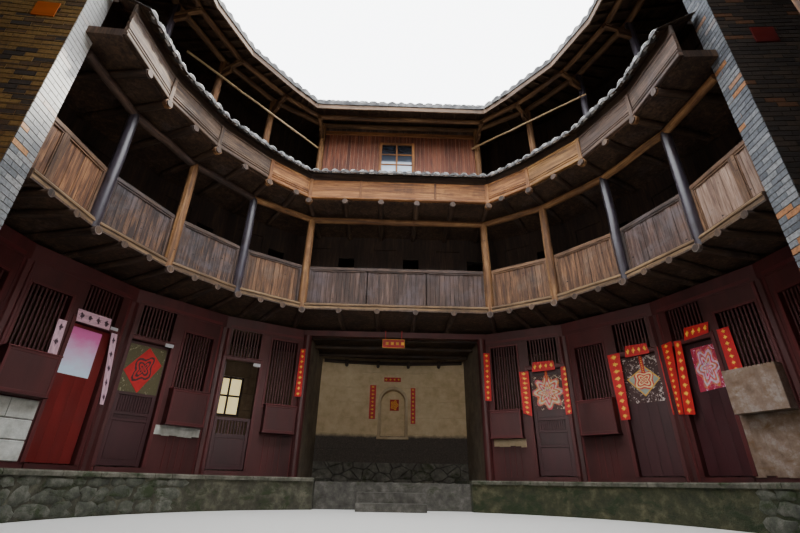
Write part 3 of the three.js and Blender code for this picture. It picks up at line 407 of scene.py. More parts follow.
# Materials
class Look:
    """Node material with a few short words for the nodes used here."""

    def __init__(self, name, rough=0.8):
        self.mat = bpy.data.materials.new(name)
        self.mat.use_nodes = True
        self.tree = self.mat.node_tree
        self.bsdf = self.tree.nodes["Principled BSDF"]
        self.bsdf.inputs["Roughness"].default_value = rough

    def node(self, kind, inputs=(), **props):
        n = self.tree.nodes.new(kind)
        for k, v in props.items():
            setattr(n, k, v)
        for k, v in dict(inputs).items():
            if isinstance(v, bpy.types.NodeSocket):
                self.tree.links.new(v, n.inputs[k])
            else:
                n.inputs[k].default_value = v
        return n

    def grain(self):
        return self.node("ShaderNodeUVMap", uv_map="grain").outputs[0]

    def place(self):
        return self.node("ShaderNodeTexCoord").outputs["Object"]

    def scaled(self, vector, scale):
        return self.node("ShaderNodeMapping", {"Vector": vector, "Scale": scale}).outputs[0]

    def axes(self, vector):
        return self.node("ShaderNodeSeparateXYZ", {0: vector}).outputs

    def noise(self, vector, scale, detail, rough, distort=0):
        inputs = {"Vector": self.scaled(vector, scale), "Scale": 1, "Detail": detail, "Roughness": rough,
                  "Distortion": distort}
        return self.node("ShaderNodeTexNoise", inputs).outputs["Fac"]

    def cells(self, vector, scale, feature="F1"):
        inputs = {"Vector": self.scaled(vector, scale), "Scale": 1, "Randomness": 1}
        return self.node("ShaderNodeTexVoronoi", inputs, feature=feature).outputs

    def ramp(self, fac, stops):
        n = self.node("ShaderNodeValToRGB", {"Fac": fac})
        e = n.color_ramp.elements
        while len(e) < len(stops):
            e.new(0.5)
        for k, (at, colour) in zip(e, stops):
            k.position = at
            k.color = (*colour, 1) if len(colour) == 3 else colour
        return n.outputs[0]

    def step(self, fac, lo, hi, top=1.0):
        n = self.node("ShaderNodeMapRange", {"Value": fac, "From Min": lo, "From Max": hi, "To Max": top})
        return n.outputs[0]

    def maths(self, op, a, b=0.0):
        return self.node("ShaderNodeMath", {0: a, 1: b}, operation=op).outputs[0]

    def times(self, a, b):
        return self.maths("MULTIPLY", a, b)

    def less(self, a, b):
        return self.maths("SUBTRACT", a, b)

    def plus(self, a, b, share=None):
        return self.maths("ADD", a, b if share is None else self.times(b, share))

    def blend(self, a, share_a, b, share_b):
        return self.plus(self.times(a, share_a), b, share_b)

    def distance(self, x, y):
        return self.maths("SQRT", self.plus(self.times(x, x), self.times(y, y)))

    def mix(self, fac, a, b, blend="MIX"):
        n = self.node("ShaderNodeMix", data_type="RGBA", blend_type=blend)
        for k, v in ((0, fac), (6, a), (7, b)):
            if isinstance(v, bpy.types.NodeSocket):
                self.tree.links.new(v, n.inputs[k])
            elif k:
                n.inputs[k].default_value = (*v, 1)
            else:
                n.inputs[k].default_value = v
        return n.outputs[2]

    def finish(self, colour=None, rough=None, height=None, depth=0.002):
        link = self.tree.links.new
        if colour is not None:
            link(colour, self.bsdf.inputs["Base Color"])
        if rough is not None:
            link(rough, self.bsdf.inputs["Roughness"])
        if height is not None:
            bump = self.node("ShaderNodeBump", {"Height": height, "Strength": 1.0, "Distance": depth})
            link(bump.outputs[0], self.bsdf.inputs["Normal"])
        return self.mat


def shade(colour, share):
    """The same colour, darker or lighter."""
    return tuple(min(1, share * c) for c in colour)


def stretch_for(mapped):
    """Scales across and along the grain, on a board's own map or upright in the part."""
    return (lambda a, b: (a, b, 1)) if mapped else (lambda a, b: (a, a, b))


def wood(name, dark, mid, light, grey, greyed, rough=0.75, contrast=1.0, dirt=0.5, knots=0.5, mapped=True):
    """Weathered boards: fibres along V, a tone for each board, knots, grey weathering and dirt."""
    look = Look(name, rough)
    where = look.place()
    at = look.grain() if mapped else where
    scale = stretch_for(mapped)
    tone = look.noise(at, scale(2.3, 0.25 if mapped else 0.05), 2, 0.5)
    figure = look.noise(at, scale(13, 1.1), 5, 0.62, 0.8)
    fibre = look.noise(at, scale(150, 4), 3, 0.6)
    value = look.blend(figure, 0.62, fibre, 0.38)
    spread = 0.15 / contrast
    base = look.ramp(value, [(0.5 - spread, dark), (0.5, mid), (0.5 + spread, light)])
    darker = look.mix(1.0, base, (0.60, 0.56, 0.54), "MULTIPLY")
    toned = look.mix(look.step(tone, 0.38, 0.62), darker, base)
    patch = look.noise(where, (1.5, 1.5, 1.9), 5, 0.62, 0.4)
    weather = look.blend(patch, 0.7, figure, 0.3)
    edge = 0.62 - 0.3 * greyed
    grey_fibre = look.mix(fibre, shade(grey, 0.45), shade(grey, 1.3))
    out = look.mix(look.step(weather, edge, edge + 0.12, min(1, greyed * 1.5)), toned, grey_fibre)
    if knots:
        cell = look.cells(at, scale(6.5, 11))
        rare = look.axes(cell["Color"])[0]
        spot = look.times(look.step(cell["Distance"], 0.17, 0.1), look.step(rare, 0.80, 0.81))
        out = look.mix(look.times(spot, knots), out, shade(dark, 0.2))
    stain = look.noise(where, (2.6, 2.6, 1.2), 5, 0.7, 0.3)
    streak = look.noise(at, scale(16, 0.5), 3, 0.6)
    out = look.mix(look.step(look.blend(stain, 0.6, streak, 0.4), 0.5, 0.62, dirt), out, shade(dark, 0.5))
    return look.finish(out, None, look.plus(value, fibre, 0.7), 0.0012)


def paint(name, base, worn, rough=0.55, wear=0.35, mapped=True):
    """Old paint or oil on wood: even colour, faint grain, worn and dusty patches."""
    look = Look(name, rough)
    at = look.grain() if mapped else look.place()
    scale = stretch_for(mapped)
    fibre = look.noise(at, scale(110, 5), 3, 0.6)
    tone = look.noise(at, scale(2.0, 0.5), 3, 0.55)
    body = look.mix(look.step(tone, 0.3, 0.7), shade(base, 0.55), shade(base, 1.3))
    patch = look.noise(at, scale(7, 2.2), 6, 0.68, 0.4)
    body = look.mix(look.step(patch, 0.56, 0.7, wear), body, worn)
    body = look.mix(look.step(fibre, 0.5, 0.75, 0.3), body, shade(base, 0.5))
    gloss = look.plus(look.times(look.step(patch, 0.3, 0.8), 0.3), rough - 0.12)
    return look.finish(body, gloss, look.plus(fibre, patch), 0.0006)


def ground(name, low, mid, high, size, depth, moss=None, mossy=0.0, cracks=0.0):
    """Earth, plaster, stone or concrete, mapped in the part's own frame."""
    look = Look(name, 0.92)
    at = look.place()
    k = size
    big = look.noise(at, (0.7 * k,) * 3, 4, 0.6, 0.3)
    mottle = look.noise(at, (4.5 * k,) * 3, 6, 0.62)
    fine = look.noise(at, (38 * k,) * 3, 4, 0.6)
    value = look.blend(mottle, 0.65, big, 0.35)
    colour = look.ramp(value, [(0.36, low), (0.5, mid), (0.64, high)])
    colour = look.mix(look.step(fine, 0.4, 0.75, 0.35), colour, low)
    height = look.blend(mottle, 0.6, fine, 0.25)
    if cracks:
        crack = look.cells(at, (2.6 * k, 2.6 * k, 4.2 * k), "DISTANCE_TO_EDGE")["Distance"]
        colour = look.mix(look.step(crack, 0.05, 0.0, cracks), colour, shade(low, 0.3))
        height = look.plus(height, look.step(crack, 0.0, 0.045), 1.4)
    if moss:
        patch = look.noise(at, (1.9 * k, 1.9 * k, 3.2 * k), 7, 0.68, 0.5)
        edge = 0.66 - 0.35 * mossy
        colour = look.mix(look.step(patch, edge, edge + 0.12), colour, moss)
        height = look.plus(height, look.step(patch, edge, edge + 0.1), 0.25)
    return look.finish(colour, None, height, depth)


def brick_look(name, tones, painted_sun_from=None):
    """Bricks, each with a tone of its own; the last argument lightens them above this height in metres, as
    painted sunlight.
    """
    look = Look(name, 0.9)
    at = look.grain()
    cell = look.scaled(at, (0.7299, 0, 0))
    number = look.node("ShaderNodeVectorMath", {0: cell}, operation="FLOOR").outputs[0]
    one = look.node("ShaderNodeTexWhiteNoise", {"Vector": number}, noise_dimensions="3D").outputs["Value"]
    mottle = look.noise(at, (22, 22, 1), 6, 0.68)
    middle = tones[len(tones) // 2][1]
    base = look.mix(look.step(mottle, 0.47, 0.68, 0.6), look.ramp(one, tones), (0.03, 0.027, 0.024))
    base = look.mix(look.step(mottle, 0.42, 0.25, 0.45), base, shade(middle, 1.7))
    # Painted sunlight: the bricks turn pale above the given height, where the sun falls on the wall
    if painted_sun_from:
        level = look.plus(look.axes(look.place())[2], mottle, 1.2)
        base = look.mix(look.step(level, painted_sun_from, painted_sun_from + 0.8, 0.8), base, (0.76, 0.75, 0.72))
    return look.finish(base, None, mottle, 0.004)


def tile_look(name, low, mid, high):
    look = Look(name, 0.88)
    where = look.place()
    lichen = look.noise(where, (3.2, 3.2, 3.2), 7, 0.7, 0.3)
    each = look.noise(look.grain(), (4.4, 5.0, 1), 1, 0.5)
    fine = look.noise(where, (45, 45, 45), 4, 0.6)
    colour = look.ramp(each, [(0.32, low), (0.52, mid), (0.72, high)])
    colour = look.mix(look.step(lichen, 0.54, 0.7, 0.7), colour, shade(high, 1.25))
    colour = look.mix(look.step(fine, 0.5, 0.72, 0.5), colour, shade(low, 0.5))
    return look.finish(colour, None, look.plus(fine, lichen), 0.004)


def lozenges(look, at, across, rows, wide, high):
    """Distance from the middle of each cell of a grid over the sheet, 1 at the edge of its lozenge."""
    axes = look.axes(at)
    total = None
    for axis, count, size in ((0, across, wide), (1, rows, high)):
        cell = look.maths("FRACT", look.times(axes[axis], count))
        away = look.maths("DIVIDE", look.maths("ABSOLUTE", look.less(cell, 0.5)), size)
        total = away if total is None else look.plus(total, away)
    return total


def paper_look(name, paper, mark, across, rows, wide, high):
    """Pasted paper, faded and creased, with a plain pattern of lozenges."""
    look = Look(name, 0.6)
    at = look.grain()
    fade = look.noise(at, (3, 6, 1), 5, 0.6)
    crease = look.noise(at, (9, 22, 1), 5, 0.65, 0.4)
    broken = look.noise(at, (14, 14 * rows / 4, 1), 3, 0.6, 1.5)
    colour = look.mix(look.step(fade, 0.35, 0.65), shade(paper, 0.62), paper)
    level = look.plus(lozenges(look, at, across, rows, wide, high), look.less(broken, 0.5), 2.6)
    colour = look.mix(look.step(level, 1.0, 0.88), colour, mark)
    return look.finish(colour, None, crease, 0.001)


def torn_look(name, bare, shreds, share):
    """Remains of an old sheet on a door: shreds of paper with the wood showing between them."""
    look = Look(name, 0.7)
    at = look.grain()
    ragged = look.noise(at, (6, 6, 1), 8, 0.75, 0.6)
    fine = look.noise(at, (22, 22, 1), 5, 0.7)
    level = look.blend(ragged, 0.6, fine, 0.4)
    base = look.mix(fine, shade(bare, 0.6), bare)
    return look, at, look.mix(look.step(level, share, share + 0.03), base, shreds), fine


def shreds_look(name, bare, shreds, share):
    look, _, colour, fine = torn_look(name, bare, shreds, share)
    return look.finish(colour, None, fine, 0.001)


def medallion_look(name, field, petals, heart, spokes, edge=None, shredded=False):
    """A round pattern of petals in the middle of the sheet."""
    look, at, worn, _ = torn_look(name, field, shade(petals, 1.15), 0.55)
    axes = look.axes(at)
    x, y = (look.less(axes[k], 0.5) for k in (0, 1))
    turn = look.times(look.maths("ARCTAN2", y, x), spokes)
    rough = look.noise(at, (11, 11, 1), 4, 0.6)
    wave = look.blend(look.maths("COSINE", turn), 0.07, rough, 0.09)
    level = look.less(look.distance(x, y), wave)
    bands = look.maths("PINGPONG", level, 0.075)
    inside = look.mix(look.step(bands, 0.03, 0.042), petals, heart)
    if shredded:
        speck = look.cells(at, (16, 16, 1))["Color"]
        inside = look.mix(0.35, inside, look.mix(1.0, speck, (0.9, 0.55, 0.35), "MULTIPLY"))
        colour = worn
    else:
        fade = look.noise(at, (4, 4, 1), 5, 0.6)
        colour = look.mix(look.step(fade, 0.4, 0.7), field, shade(field, 0.7))
    colour = look.mix(look.step(level, 0.41, 0.395), colour, inside)
    if edge:
        rim = look.maths("MAXIMUM", look.maths("ABSOLUTE", x), look.maths("ABSOLUTE", y))
        colour = look.mix(look.step(rim, 0.445, 0.455), colour, edge)
    return look.finish(colour, None, rough, 0.001)


def fading_look(name, low, high):
    """Plain print fading from one colour at the foot to another at the head."""
    look = Look(name, 0.35)
    at = look.grain()
    cloud = look.noise(at, (2.5, 5, 1), 4, 0.6)
    level = look.plus(look.axes(at)[1], look.less(cloud, 0.5), 0.5)
    between = tuple(0.5 * (a + b) for a, b in zip(low, high))
    colour = look.ramp(level, [(0.1, low), (0.5, between), (0.85, high)])
    return look.finish(colour, None, cloud, 0.0006)


def earth_colour(look, at, z, big, rough):
    """Layers of rammed earth with damp streaks; gives the colour and the seams between the layers."""
    band = look.noise(at, (0.6, 0.6, 9), 3, 0.5)
    drip = look.noise(at, (5, 5, 0.35), 5, 0.65, 0.3)
    lift = look.maths("FRACT", look.blend(z, 2.4, big, 0.25))
    seam = look.step(look.maths("MINIMUM", lift, look.less(1.0, lift)), 0.045, 0.0)
    seam = look.times(seam, look.step(rough, 0.42, 0.56))
    value = look.blend(rough, 0.6, big, 0.4)
    tones = [(0.36, (0.20, 0.125, 0.068)), (0.5, (0.31, 0.21, 0.122)), (0.64, (0.42, 0.305, 0.195))]
    earth = look.ramp(value, tones)
    earth = look.mix(look.step(band, 0.5, 0.62, 0.45), earth, (0.22, 0.145, 0.083))
    earth = look.mix(look.step(drip, 0.54, 0.68, 0.5), earth, (0.15, 0.105, 0.068))
    return look.mix(look.times(seam, 0.7), earth, (0.10, 0.065, 0.038)), seam, value


def hall_wall_look():
    """Rammed earth; inside the hall the wall is plastered, with a dark dado."""
    look = Look("hall_wall", 0.92)
    at = look.place()
    x, y, z = look.axes(at)
    big = look.noise(at, (0.7, 0.7, 0.7), 4, 0.6, 0.3)
    rough = look.noise(at, (5, 5, 5), 6, 0.62)
    fine = look.noise(at, (40, 40, 40), 4, 0.6)
    earth, seam, value = earth_colour(look, at, z, big, rough)
    tones = [(0.36, (0.48, 0.36, 0.20)), (0.5, (0.62, 0.48, 0.29)), (0.64, (0.70, 0.56, 0.36))]
    inside = look.ramp(value, tones)
    level = look.plus(z, look.less(rough, 0.5), 0.12)
    dado = look.mix(fine, (0.045, 0.038, 0.034), (0.10, 0.088, 0.078))
    inside = look.mix(look.step(level, 1.62, 1.52), inside, dado)
    mask = look.times(look.step(look.maths("ABSOLUTE", x), 2.06, 2.04), look.step(z, 3.62, 3.6))
    mask = look.times(mask, look.step(look.distance(x, y), 8.6, 8.59))
    colour = look.mix(mask, earth, inside)
    colour = look.mix(look.step(fine, 0.45, 0.8, 0.3), colour, (0.3, 0.22, 0.15))
    return look.finish(colour, None, look.less(look.plus(rough, fine, 0.5), look.times(seam, 0.8)), 0.012)


DARK_GREY = (0.10, 0.085, 0.095)
WARM_GREY = (0.16, 0.115, 0.085)
honey_boards = wood("honey_boards", (0.07, 0.024, 0.007), (0.27, 0.105, 0.027), (0.50, 0.24, 0.075),
                    WARM_GREY, 0.15)
rail_boards = wood("rail_boards", (0.012, 0.008, 0.009), (0.058, 0.030, 0.021), (0.30, 0.15, 0.068),
                   DARK_GREY, 0.55, contrast=1.1, dirt=0.7, knots=0.9)
bright_boards = wood("bright_boards", (0.03, 0.011, 0.005), (0.15, 0.060, 0.022), (0.40, 0.195, 0.08),
                     WARM_GREY, 0.2, contrast=1.1, dirt=0.6, knots=0.6)
warm_boards = wood("warm_boards", (0.026, 0.011, 0.006), (0.125, 0.056, 0.024), (0.33, 0.17, 0.078),
                   WARM_GREY, 0.35, contrast=1.1, dirt=0.55, knots=1.0)
hall_rail = wood("hall_rail", (0.02, 0.011, 0.009), (0.078, 0.044, 0.033), (0.19, 0.115, 0.084),
                 (0.11, 0.085, 0.095), 0.45, dirt=0.6, knots=0.7)
knotty_boards = wood("knotty_boards", (0.02, 0.010, 0.008), (0.09, 0.047, 0.035), (0.235, 0.14, 0.10),
                     (0.13, 0.105, 0.11), 0.5, dirt=0.5, knots=1.0)
pale_rail_boards = wood("pale_rail_boards", (0.09, 0.05, 0.037), (0.28, 0.175, 0.125), (0.46, 0.33, 0.25),
                        (0.25, 0.20, 0.185), 0.35, dirt=0.35, knots=1.0)
dark_rail = wood("dark_rail", (0.018, 0.012, 0.011), (0.065, 0.038, 0.028), (0.17, 0.10, 0.065), DARK_GREY,
                 0.35, dirt=0.55)
warm_rail = wood("warm_rail", (0.035, 0.016, 0.008), (0.135, 0.066, 0.03), (0.30, 0.165, 0.08), WARM_GREY,
                 0.3, dirt=0.45)
sill_wood = wood("sill_wood", (0.05, 0.027, 0.012), (0.18, 0.105, 0.045), (0.35, 0.23, 0.115), WARM_GREY,
                 0.3, dirt=0.5)
post_honey = wood("post_honey", (0.055, 0.022, 0.008), (0.22, 0.10, 0.034), (0.44, 0.25, 0.10), WARM_GREY,
                  0.2, dirt=0.55, knots=0.8)
post_grey = wood("post_grey", (0.012, 0.009, 0.011), (0.040, 0.028, 0.033), (0.10, 0.074, 0.084),
                 (0.055, 0.047, 0.062), 0.7, rough=0.32, dirt=0.5)
bracket_wood = wood("bracket_wood", (0.04, 0.017, 0.007), (0.15, 0.072, 0.027), (0.33, 0.18, 0.075),
                    (0.16, 0.15, 0.16), 0.15)
log_ends = wood("log_ends", (0.05, 0.034, 0.027), (0.15, 0.105, 0.085), (0.30, 0.225, 0.18),
                (0.13, 0.12, 0.125), 0.5)
joist_wood = wood("joist_wood", (0.015, 0.009, 0.006), (0.055, 0.030, 0.018), (0.13, 0.075, 0.042),
                  DARK_GREY, 0.25)
deck_wood = wood("deck_wood", (0.018, 0.010, 0.006), (0.065, 0.035, 0.02), (0.15, 0.085, 0.045), DARK_GREY,
                 0.25, mapped=False, dirt=0.5)
fascia_grey = wood("fascia_grey", (0.026, 0.013, 0.007), (0.10, 0.056, 0.030), (0.235, 0.145, 0.08),
                   WARM_GREY, 0.4)
fascia_gold = wood("fascia_gold", (0.075, 0.03, 0.009), (0.28, 0.135, 0.038), (0.52, 0.29, 0.10), WARM_GREY,
                   0.12)
fascia_dark = wood("fascia_dark", (0.022, 0.012, 0.008), (0.09, 0.050, 0.032), (0.215, 0.13, 0.085),
                   DARK_GREY, 0.3)
# Very dark boards at the head of the fascia: painted shade under the skirt roof
fascia_shade = wood("fascia_shade", (0.016, 0.009, 0.006), (0.05, 0.028, 0.016), (0.11, 0.065, 0.035),
                    DARK_GREY, 0.3)
eave_wood = wood("eave_wood", (0.04, 0.022, 0.012), (0.14, 0.08, 0.043), (0.29, 0.18, 0.105), WARM_GREY,
                 0.3)
hall_boards = wood("hall_boards", (0.045, 0.010, 0.005), (0.15, 0.040, 0.017), (0.30, 0.105, 0.05),
                   (0.20, 0.10, 0.07), 0.15, dirt=0.35, knots=0)
# Nearly black wood for the room fronts deep behind the galleries: painted shade
room_wood_painted_shade = wood("room_wood_painted_shade", (0.009, 0.005, 0.0035), (0.03, 0.015, 0.009), (0.065, 0.035, 0.018),
                 DARK_GREY, 0.1, mapped=False, dirt=0.4)
# Pale wood for the lines between the boards of the hall window wall: painted daylight along the joints
pale_edge_painted_light = wood("pale_edge_painted_light", (0.25, 0.14, 0.08), (0.52, 0.35, 0.22), (0.75, 0.58, 0.42), (0.5, 0.42, 0.36),
                 0.3, dirt=0.3)
roof_under = wood("roof_under", (0.018, 0.009, 0.005), (0.075, 0.038, 0.018), (0.18, 0.10, 0.05), DARK_GREY,
                  0.2, dirt=0.45)
bamboo = wood("bamboo", (0.26, 0.15, 0.06), (0.50, 0.34, 0.16), (0.68, 0.52, 0.30), WARM_GREY, 0.15,
              rough=0.4, dirt=0.3)
maroon = paint("maroon", (0.058, 0.0095, 0.0095), (0.08, 0.026, 0.022), mapped=False)
maroon_part = paint("maroon_part", (0.078, 0.010, 0.011), (0.11, 0.034, 0.028))
bar_paint = paint("bar_paint", (0.055, 0.010, 0.011), (0.08, 0.03, 0.026), wear=0.2)
leaf_red = paint("leaf_red", (0.15, 0.013, 0.012), (0.15, 0.03, 0.022), rough=0.4, wear=0.25)
leaf_dark = paint("leaf_dark", (0.045, 0.010, 0.013), (0.085, 0.032, 0.03), rough=0.46)
orange_plate = paint("orange_plate", (0.60, 0.13, 0.010), (0.45, 0.12, 0.02), rough=0.5, wear=0.2)
red_plate = paint("red_plate", (0.40, 0.010, 0.008), (0.28, 0.02, 0.015), rough=0.5, wear=0.2)
dull_plate = paint("dull_plate", (0.13, 0.010, 0.008), (0.10, 0.02, 0.015), rough=0.5, wear=0.3)
bare_plate = paint("bare_plate", (0.45, 0.45, 0.47), (0.3, 0.27, 0.26), rough=0.35)
gold_paint = paint("gold_paint", (0.72, 0.38, 0.03), (0.4, 0.18, 0.03), rough=0.35)
plaster = ground("plaster", (0.34, 0.25, 0.15), (0.48, 0.37, 0.235), (0.58, 0.47, 0.32), 0.7, depth=0.004)
side_plaster = ground("side_plaster", (0.11, 0.085, 0.06), (0.18, 0.145, 0.10), (0.25, 0.205, 0.145), 0.7,
                      depth=0.004)
pink_plaster = ground("pink_plaster", (0.14, 0.09, 0.057), (0.24, 0.168, 0.126), (0.37, 0.33, 0.30), 1.4,
                      depth=0.008, moss=(0.17, 0.10, 0.05), mossy=0.4)
mortar = ground("mortar", (0.05, 0.043, 0.034), (0.09, 0.08, 0.065), (0.15, 0.135, 0.11), 2.0, depth=0.004)
stone = ground("stone", (0.06, 0.058, 0.048), (0.14, 0.135, 0.115), (0.25, 0.24, 0.205), 1.0,
               moss=(0.04, 0.052, 0.02), mossy=0.3, cracks=0.5, depth=0.02)
rubble = ground("rubble", (0.022, 0.025, 0.018), (0.062, 0.065, 0.048), (0.14, 0.14, 0.115), 2.0,
                moss=(0.02, 0.03, 0.008), mossy=0.45, depth=0.02)
left_podium = ground("left_podium", (0.016, 0.015, 0.009), (0.044, 0.042, 0.026), (0.105, 0.10, 0.068), 1.6,
                     moss=(0.020, 0.028, 0.008), mossy=0.4, depth=0.02)
mossy_stone = ground("mossy_stone", (0.012, 0.014, 0.005), (0.034, 0.036, 0.014), (0.095, 0.085, 0.045),
                     1.6, moss=(0.012, 0.021, 0.004), mossy=0.5, depth=0.02)
nosing = ground("nosing", (0.03, 0.03, 0.02), (0.08, 0.077, 0.057), (0.16, 0.15, 0.12), 1.8,
                moss=(0.02, 0.03, 0.008), mossy=0.4, depth=0.01)
step_stone = ground("step_stone", (0.030, 0.028, 0.023), (0.072, 0.068, 0.058), (0.145, 0.14, 0.122), 1.8,
                    moss=(0.025, 0.031, 0.012), mossy=0.25, depth=0.008)
whitewash = ground("whitewash", (0.33, 0.34, 0.31), (0.52, 0.53, 0.49), (0.68, 0.69, 0.65), 1.6,
                   depth=0.008)
brick_end = brick_look("brick_end", [(0, (0.085, 0.095, 0.11)), (0.5, (0.15, 0.162, 0.18)),
                                     (0.93, (0.24, 0.25, 0.26)), (0.96, (0.34, 0.15, 0.06))])
# The end of the left fire wall is lightened above 4.7 m with painted sunlight
brick_end_left = brick_look("brick_end_left", [(0, (0.12, 0.13, 0.14)), (0.5, (0.19, 0.20, 0.21)),
                                               (0.94, (0.32, 0.32, 0.31)), (0.965, (0.38, 0.19, 0.08))],
                            painted_sun_from=4.7)
brick_left = brick_look("brick_left", [(0, (0.24, 0.135, 0.032)), (0.28, (0.37, 0.225, 0.062)),
                                       (0.58, (0.19, 0.105, 0.032)), (0.80, (0.065, 0.052, 0.042))])
brick_right = brick_look("brick_right", [(0, (0.022, 0.017, 0.014)), (0.5, (0.045, 0.032, 0.024)),
                                         (0.93, (0.075, 0.048, 0.03)), (0.97, (0.16, 0.07, 0.028))])
tiles_look = tile_look("tiles", (0.045, 0.045, 0.047), (0.105, 0.105, 0.105), (0.22, 0.215, 0.21))
# Tile ends: pale partly from their own lime, partly from a painted highlight of the sky on the tops of the
# cap tiles
pale_and_lit_tile_rim = tile_look("pale_and_lit_tile_rim", (0.36, 0.36, 0.35), (0.58, 0.57, 0.56), (0.80, 0.79, 0.77))
GOLD = (0.85, 0.50, 0.04)
INK = (0.05, 0.02, 0.035)
gold_strip = paper_look("gold_strip", (0.62, 0.006, 0.010), GOLD, 1, 9, 0.25, 0.30)
gold_wide = paper_look("gold_wide", (0.60, 0.006, 0.010), GOLD, 1, 12, 0.16, 0.30)
gold_header = paper_look("gold_header", (0.62, 0.007, 0.010), GOLD, 4, 1, 0.30, 0.26)
pink_strip = paper_look("pink_strip", (0.80, 0.50, 0.60), INK, 1, 5, 0.27, 0.27)
pink_header = paper_look("pink_header", (0.80, 0.48, 0.58), INK, 4, 1, 0.30, 0.30)
poster = fading_look("poster", (0.60, 0.74, 0.88), (0.72, 0.16, 0.42))
olive_board = shreds_look("olive_board", (0.10, 0.085, 0.032), (0.33, 0.30, 0.18), 0.56)
lozenge_panel = medallion_look("lozenge_panel", (0.48, 0.006, 0.007), (0.05, 0.012, 0.014),
                               (0.48, 0.006, 0.007), 4)
star_panel = medallion_look("star_panel", (0.07, 0.025, 0.022), (0.66, 0.58, 0.42), (0.60, 0.06, 0.04), 8,
                            shredded=True)
gold_panel = medallion_look("gold_panel", (0.30, 0.36, 0.30), (0.74, 0.55, 0.30), (0.55, 0.05, 0.03), 4,
                            edge=(0.62, 0.35, 0.05))
violet_panel = medallion_look("violet_panel", (0.46, 0.015, 0.06), (0.62, 0.45, 0.62), (0.55, 0.03, 0.05),
                              6, shredded=True)
torn_paper = shreds_look("torn_paper", (0.06, 0.022, 0.02), (0.55, 0.45, 0.42), 0.53)
niche_gold = medallion_look("niche_gold", (0.42, 0.02, 0.01), (0.80, 0.45, 0.05), (0.50, 0.03, 0.01), 5)
hall_wall = hall_wall_look()


def repaint(look, *starts):
    """Gives the CAD nodes whose names start like this one material."""
    for name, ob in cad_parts.items():
        if name.startswith(starts):
            if not ob.data.materials:
                ob.data.materials.append(look)
            for slot in ob.material_slots:
                slot.link = "OBJECT"
                slot.material = look


repaint(hall_wall, "outer_wall")
repaint(stone, "stone_plinth", "gate_frame")
repaint(left_podium, "podium_left")
repaint(mossy_stone, "podium_right")
repaint(step_stone, "hall_floor", "hall_steps")
repaint(side_plaster, "hall_side_wall")
repaint(maroon, "front_", "near_front", "gate_leaf", "hall_frame")
repaint(deck_wood, "floor_", "skirt_beam")
# The room fronts get the nearly black wood of painted shade
repaint(room_wood_painted_shade, "room_fronts")


def is_hall(bay):
    return abs(bay.mid) < 1


def clear_ends(bay):
    """How much each end of a bay is cut short by a fire wall: (left, right)."""
    cut = FIRE_WALL_THICK / 2 + 5
    low = abs(bay.mid - bay.half_angle() + FIRE_WALL_AT) < 1
    high = abs(bay.mid + bay.half_angle() - FIRE_WALL_AT) < 1
    return (cut if low else 0, cut if high else 0)


def inner(bay, out, post):
    """The run of s between the posts at the two ends of a bay."""
    left, right = clear_ends(bay)
    return -bay.end(out) + (left or post), bay.end(out) - (right or post)


def boards_between(a, b, wide):
    """Edges of boards of random width, side by side from a to b."""
    at = a
    while at < b - 1:
        board = min(b - at, rng.uniform(*wide))
        if b - at - board < 45:
            board = b - at
        yield at, at + board
        at += board


# Second floor: framed boards between the posts
def panel_cuts(bay, s0, s1):
    """Ends of a bay's panels: three over the hall, two beside a fire wall, one elsewhere."""
    share = (s1 - s0) * 0.27
    left, right = clear_ends(bay)
    if is_hall(bay):
        return list(np.linspace(s0, s1, 4))
    if left:
        return [s0, s0 + share, s1]
    if right:
        return [s0, s1 - share, s1]
    return [s0, s1]


def panel_frame(frames, bay, a, b, cuts):
    """Stiles and rails of a panel; between the panels over the hall there is only a cover strip."""
    for x, edge in ((a, 1), (b, -1)):
        if is_hall(bay) and x not in (cuts[0], cuts[-1]):
            frames.block(bay, (x - 11, x + 11), (34, 60), (BOARD_LOW, BOARD_HIGH), "z", 3)
            continue
        for near, far, out, cut in ((0, 52, 24, 0), (55, 72, 36, 14)):
            ends = sorted((x + edge * near, x + edge * far))
            frames.block(bay, ends, (out, 60), (BOARD_LOW + cut, BOARD_HIGH - cut), "z", 3)
    frames.block(bay, (a + 54, b - 54), (30, 60), (RAIL_TOP - 104, RAIL_TOP - 80), "s", 3)
    frames.block(bay, (a + 54, b - 54), (34, 60), (BOARD_LOW, BOARD_LOW + 26), "s", 3)


def balustrade(shape, frames, bay):
    s0, s1 = inner(bay, 45, 88)
    cuts = panel_cuts(bay, s0, s1)
    for a, b in pairs(cuts):
        for low, high in boards_between(a, b, (75, 128)):
            face = rng.uniform(46, 54)
            shape.block(bay, (low + 1.6, high - 1.6), (face, 78), (BOARD_LOW, BOARD_HIGH), "z", 3)
        shape.block(bay, (a + 5, b - 5), (80, 84), (BOARD_LOW, RAIL_TOP - 80), "z")
    for a, b in pairs(cuts):
        panel_frame(frames, bay, a, b, cuts)
    frames.block(bay, (s0, s1), (18, 108), (RAIL_TOP - 76, RAIL_TOP), "s", 8)


def sill(shape, bay):
    """Moulded edge of the second floor under the boards, cut off at the fire walls."""
    cuts = tuple(200 if c else 0 for c in clear_ends(bay))
    shape.rail(bay, [(-61, 3728), (-61, 3772), (-48, 3780), (10, 3780), (10, 3728)], cuts)
    shape.rail(bay, [(-52, 3783), (-74, 3796), (-74, 3822), (-62, 3838), (-58, 3850), (-2, 3862),
                     (40, 3862), (40, 3783)], cuts)
    shape.rail(bay, [(-50, 3702), (-50, 3724), (10, 3724), (10, 3702)], cuts)


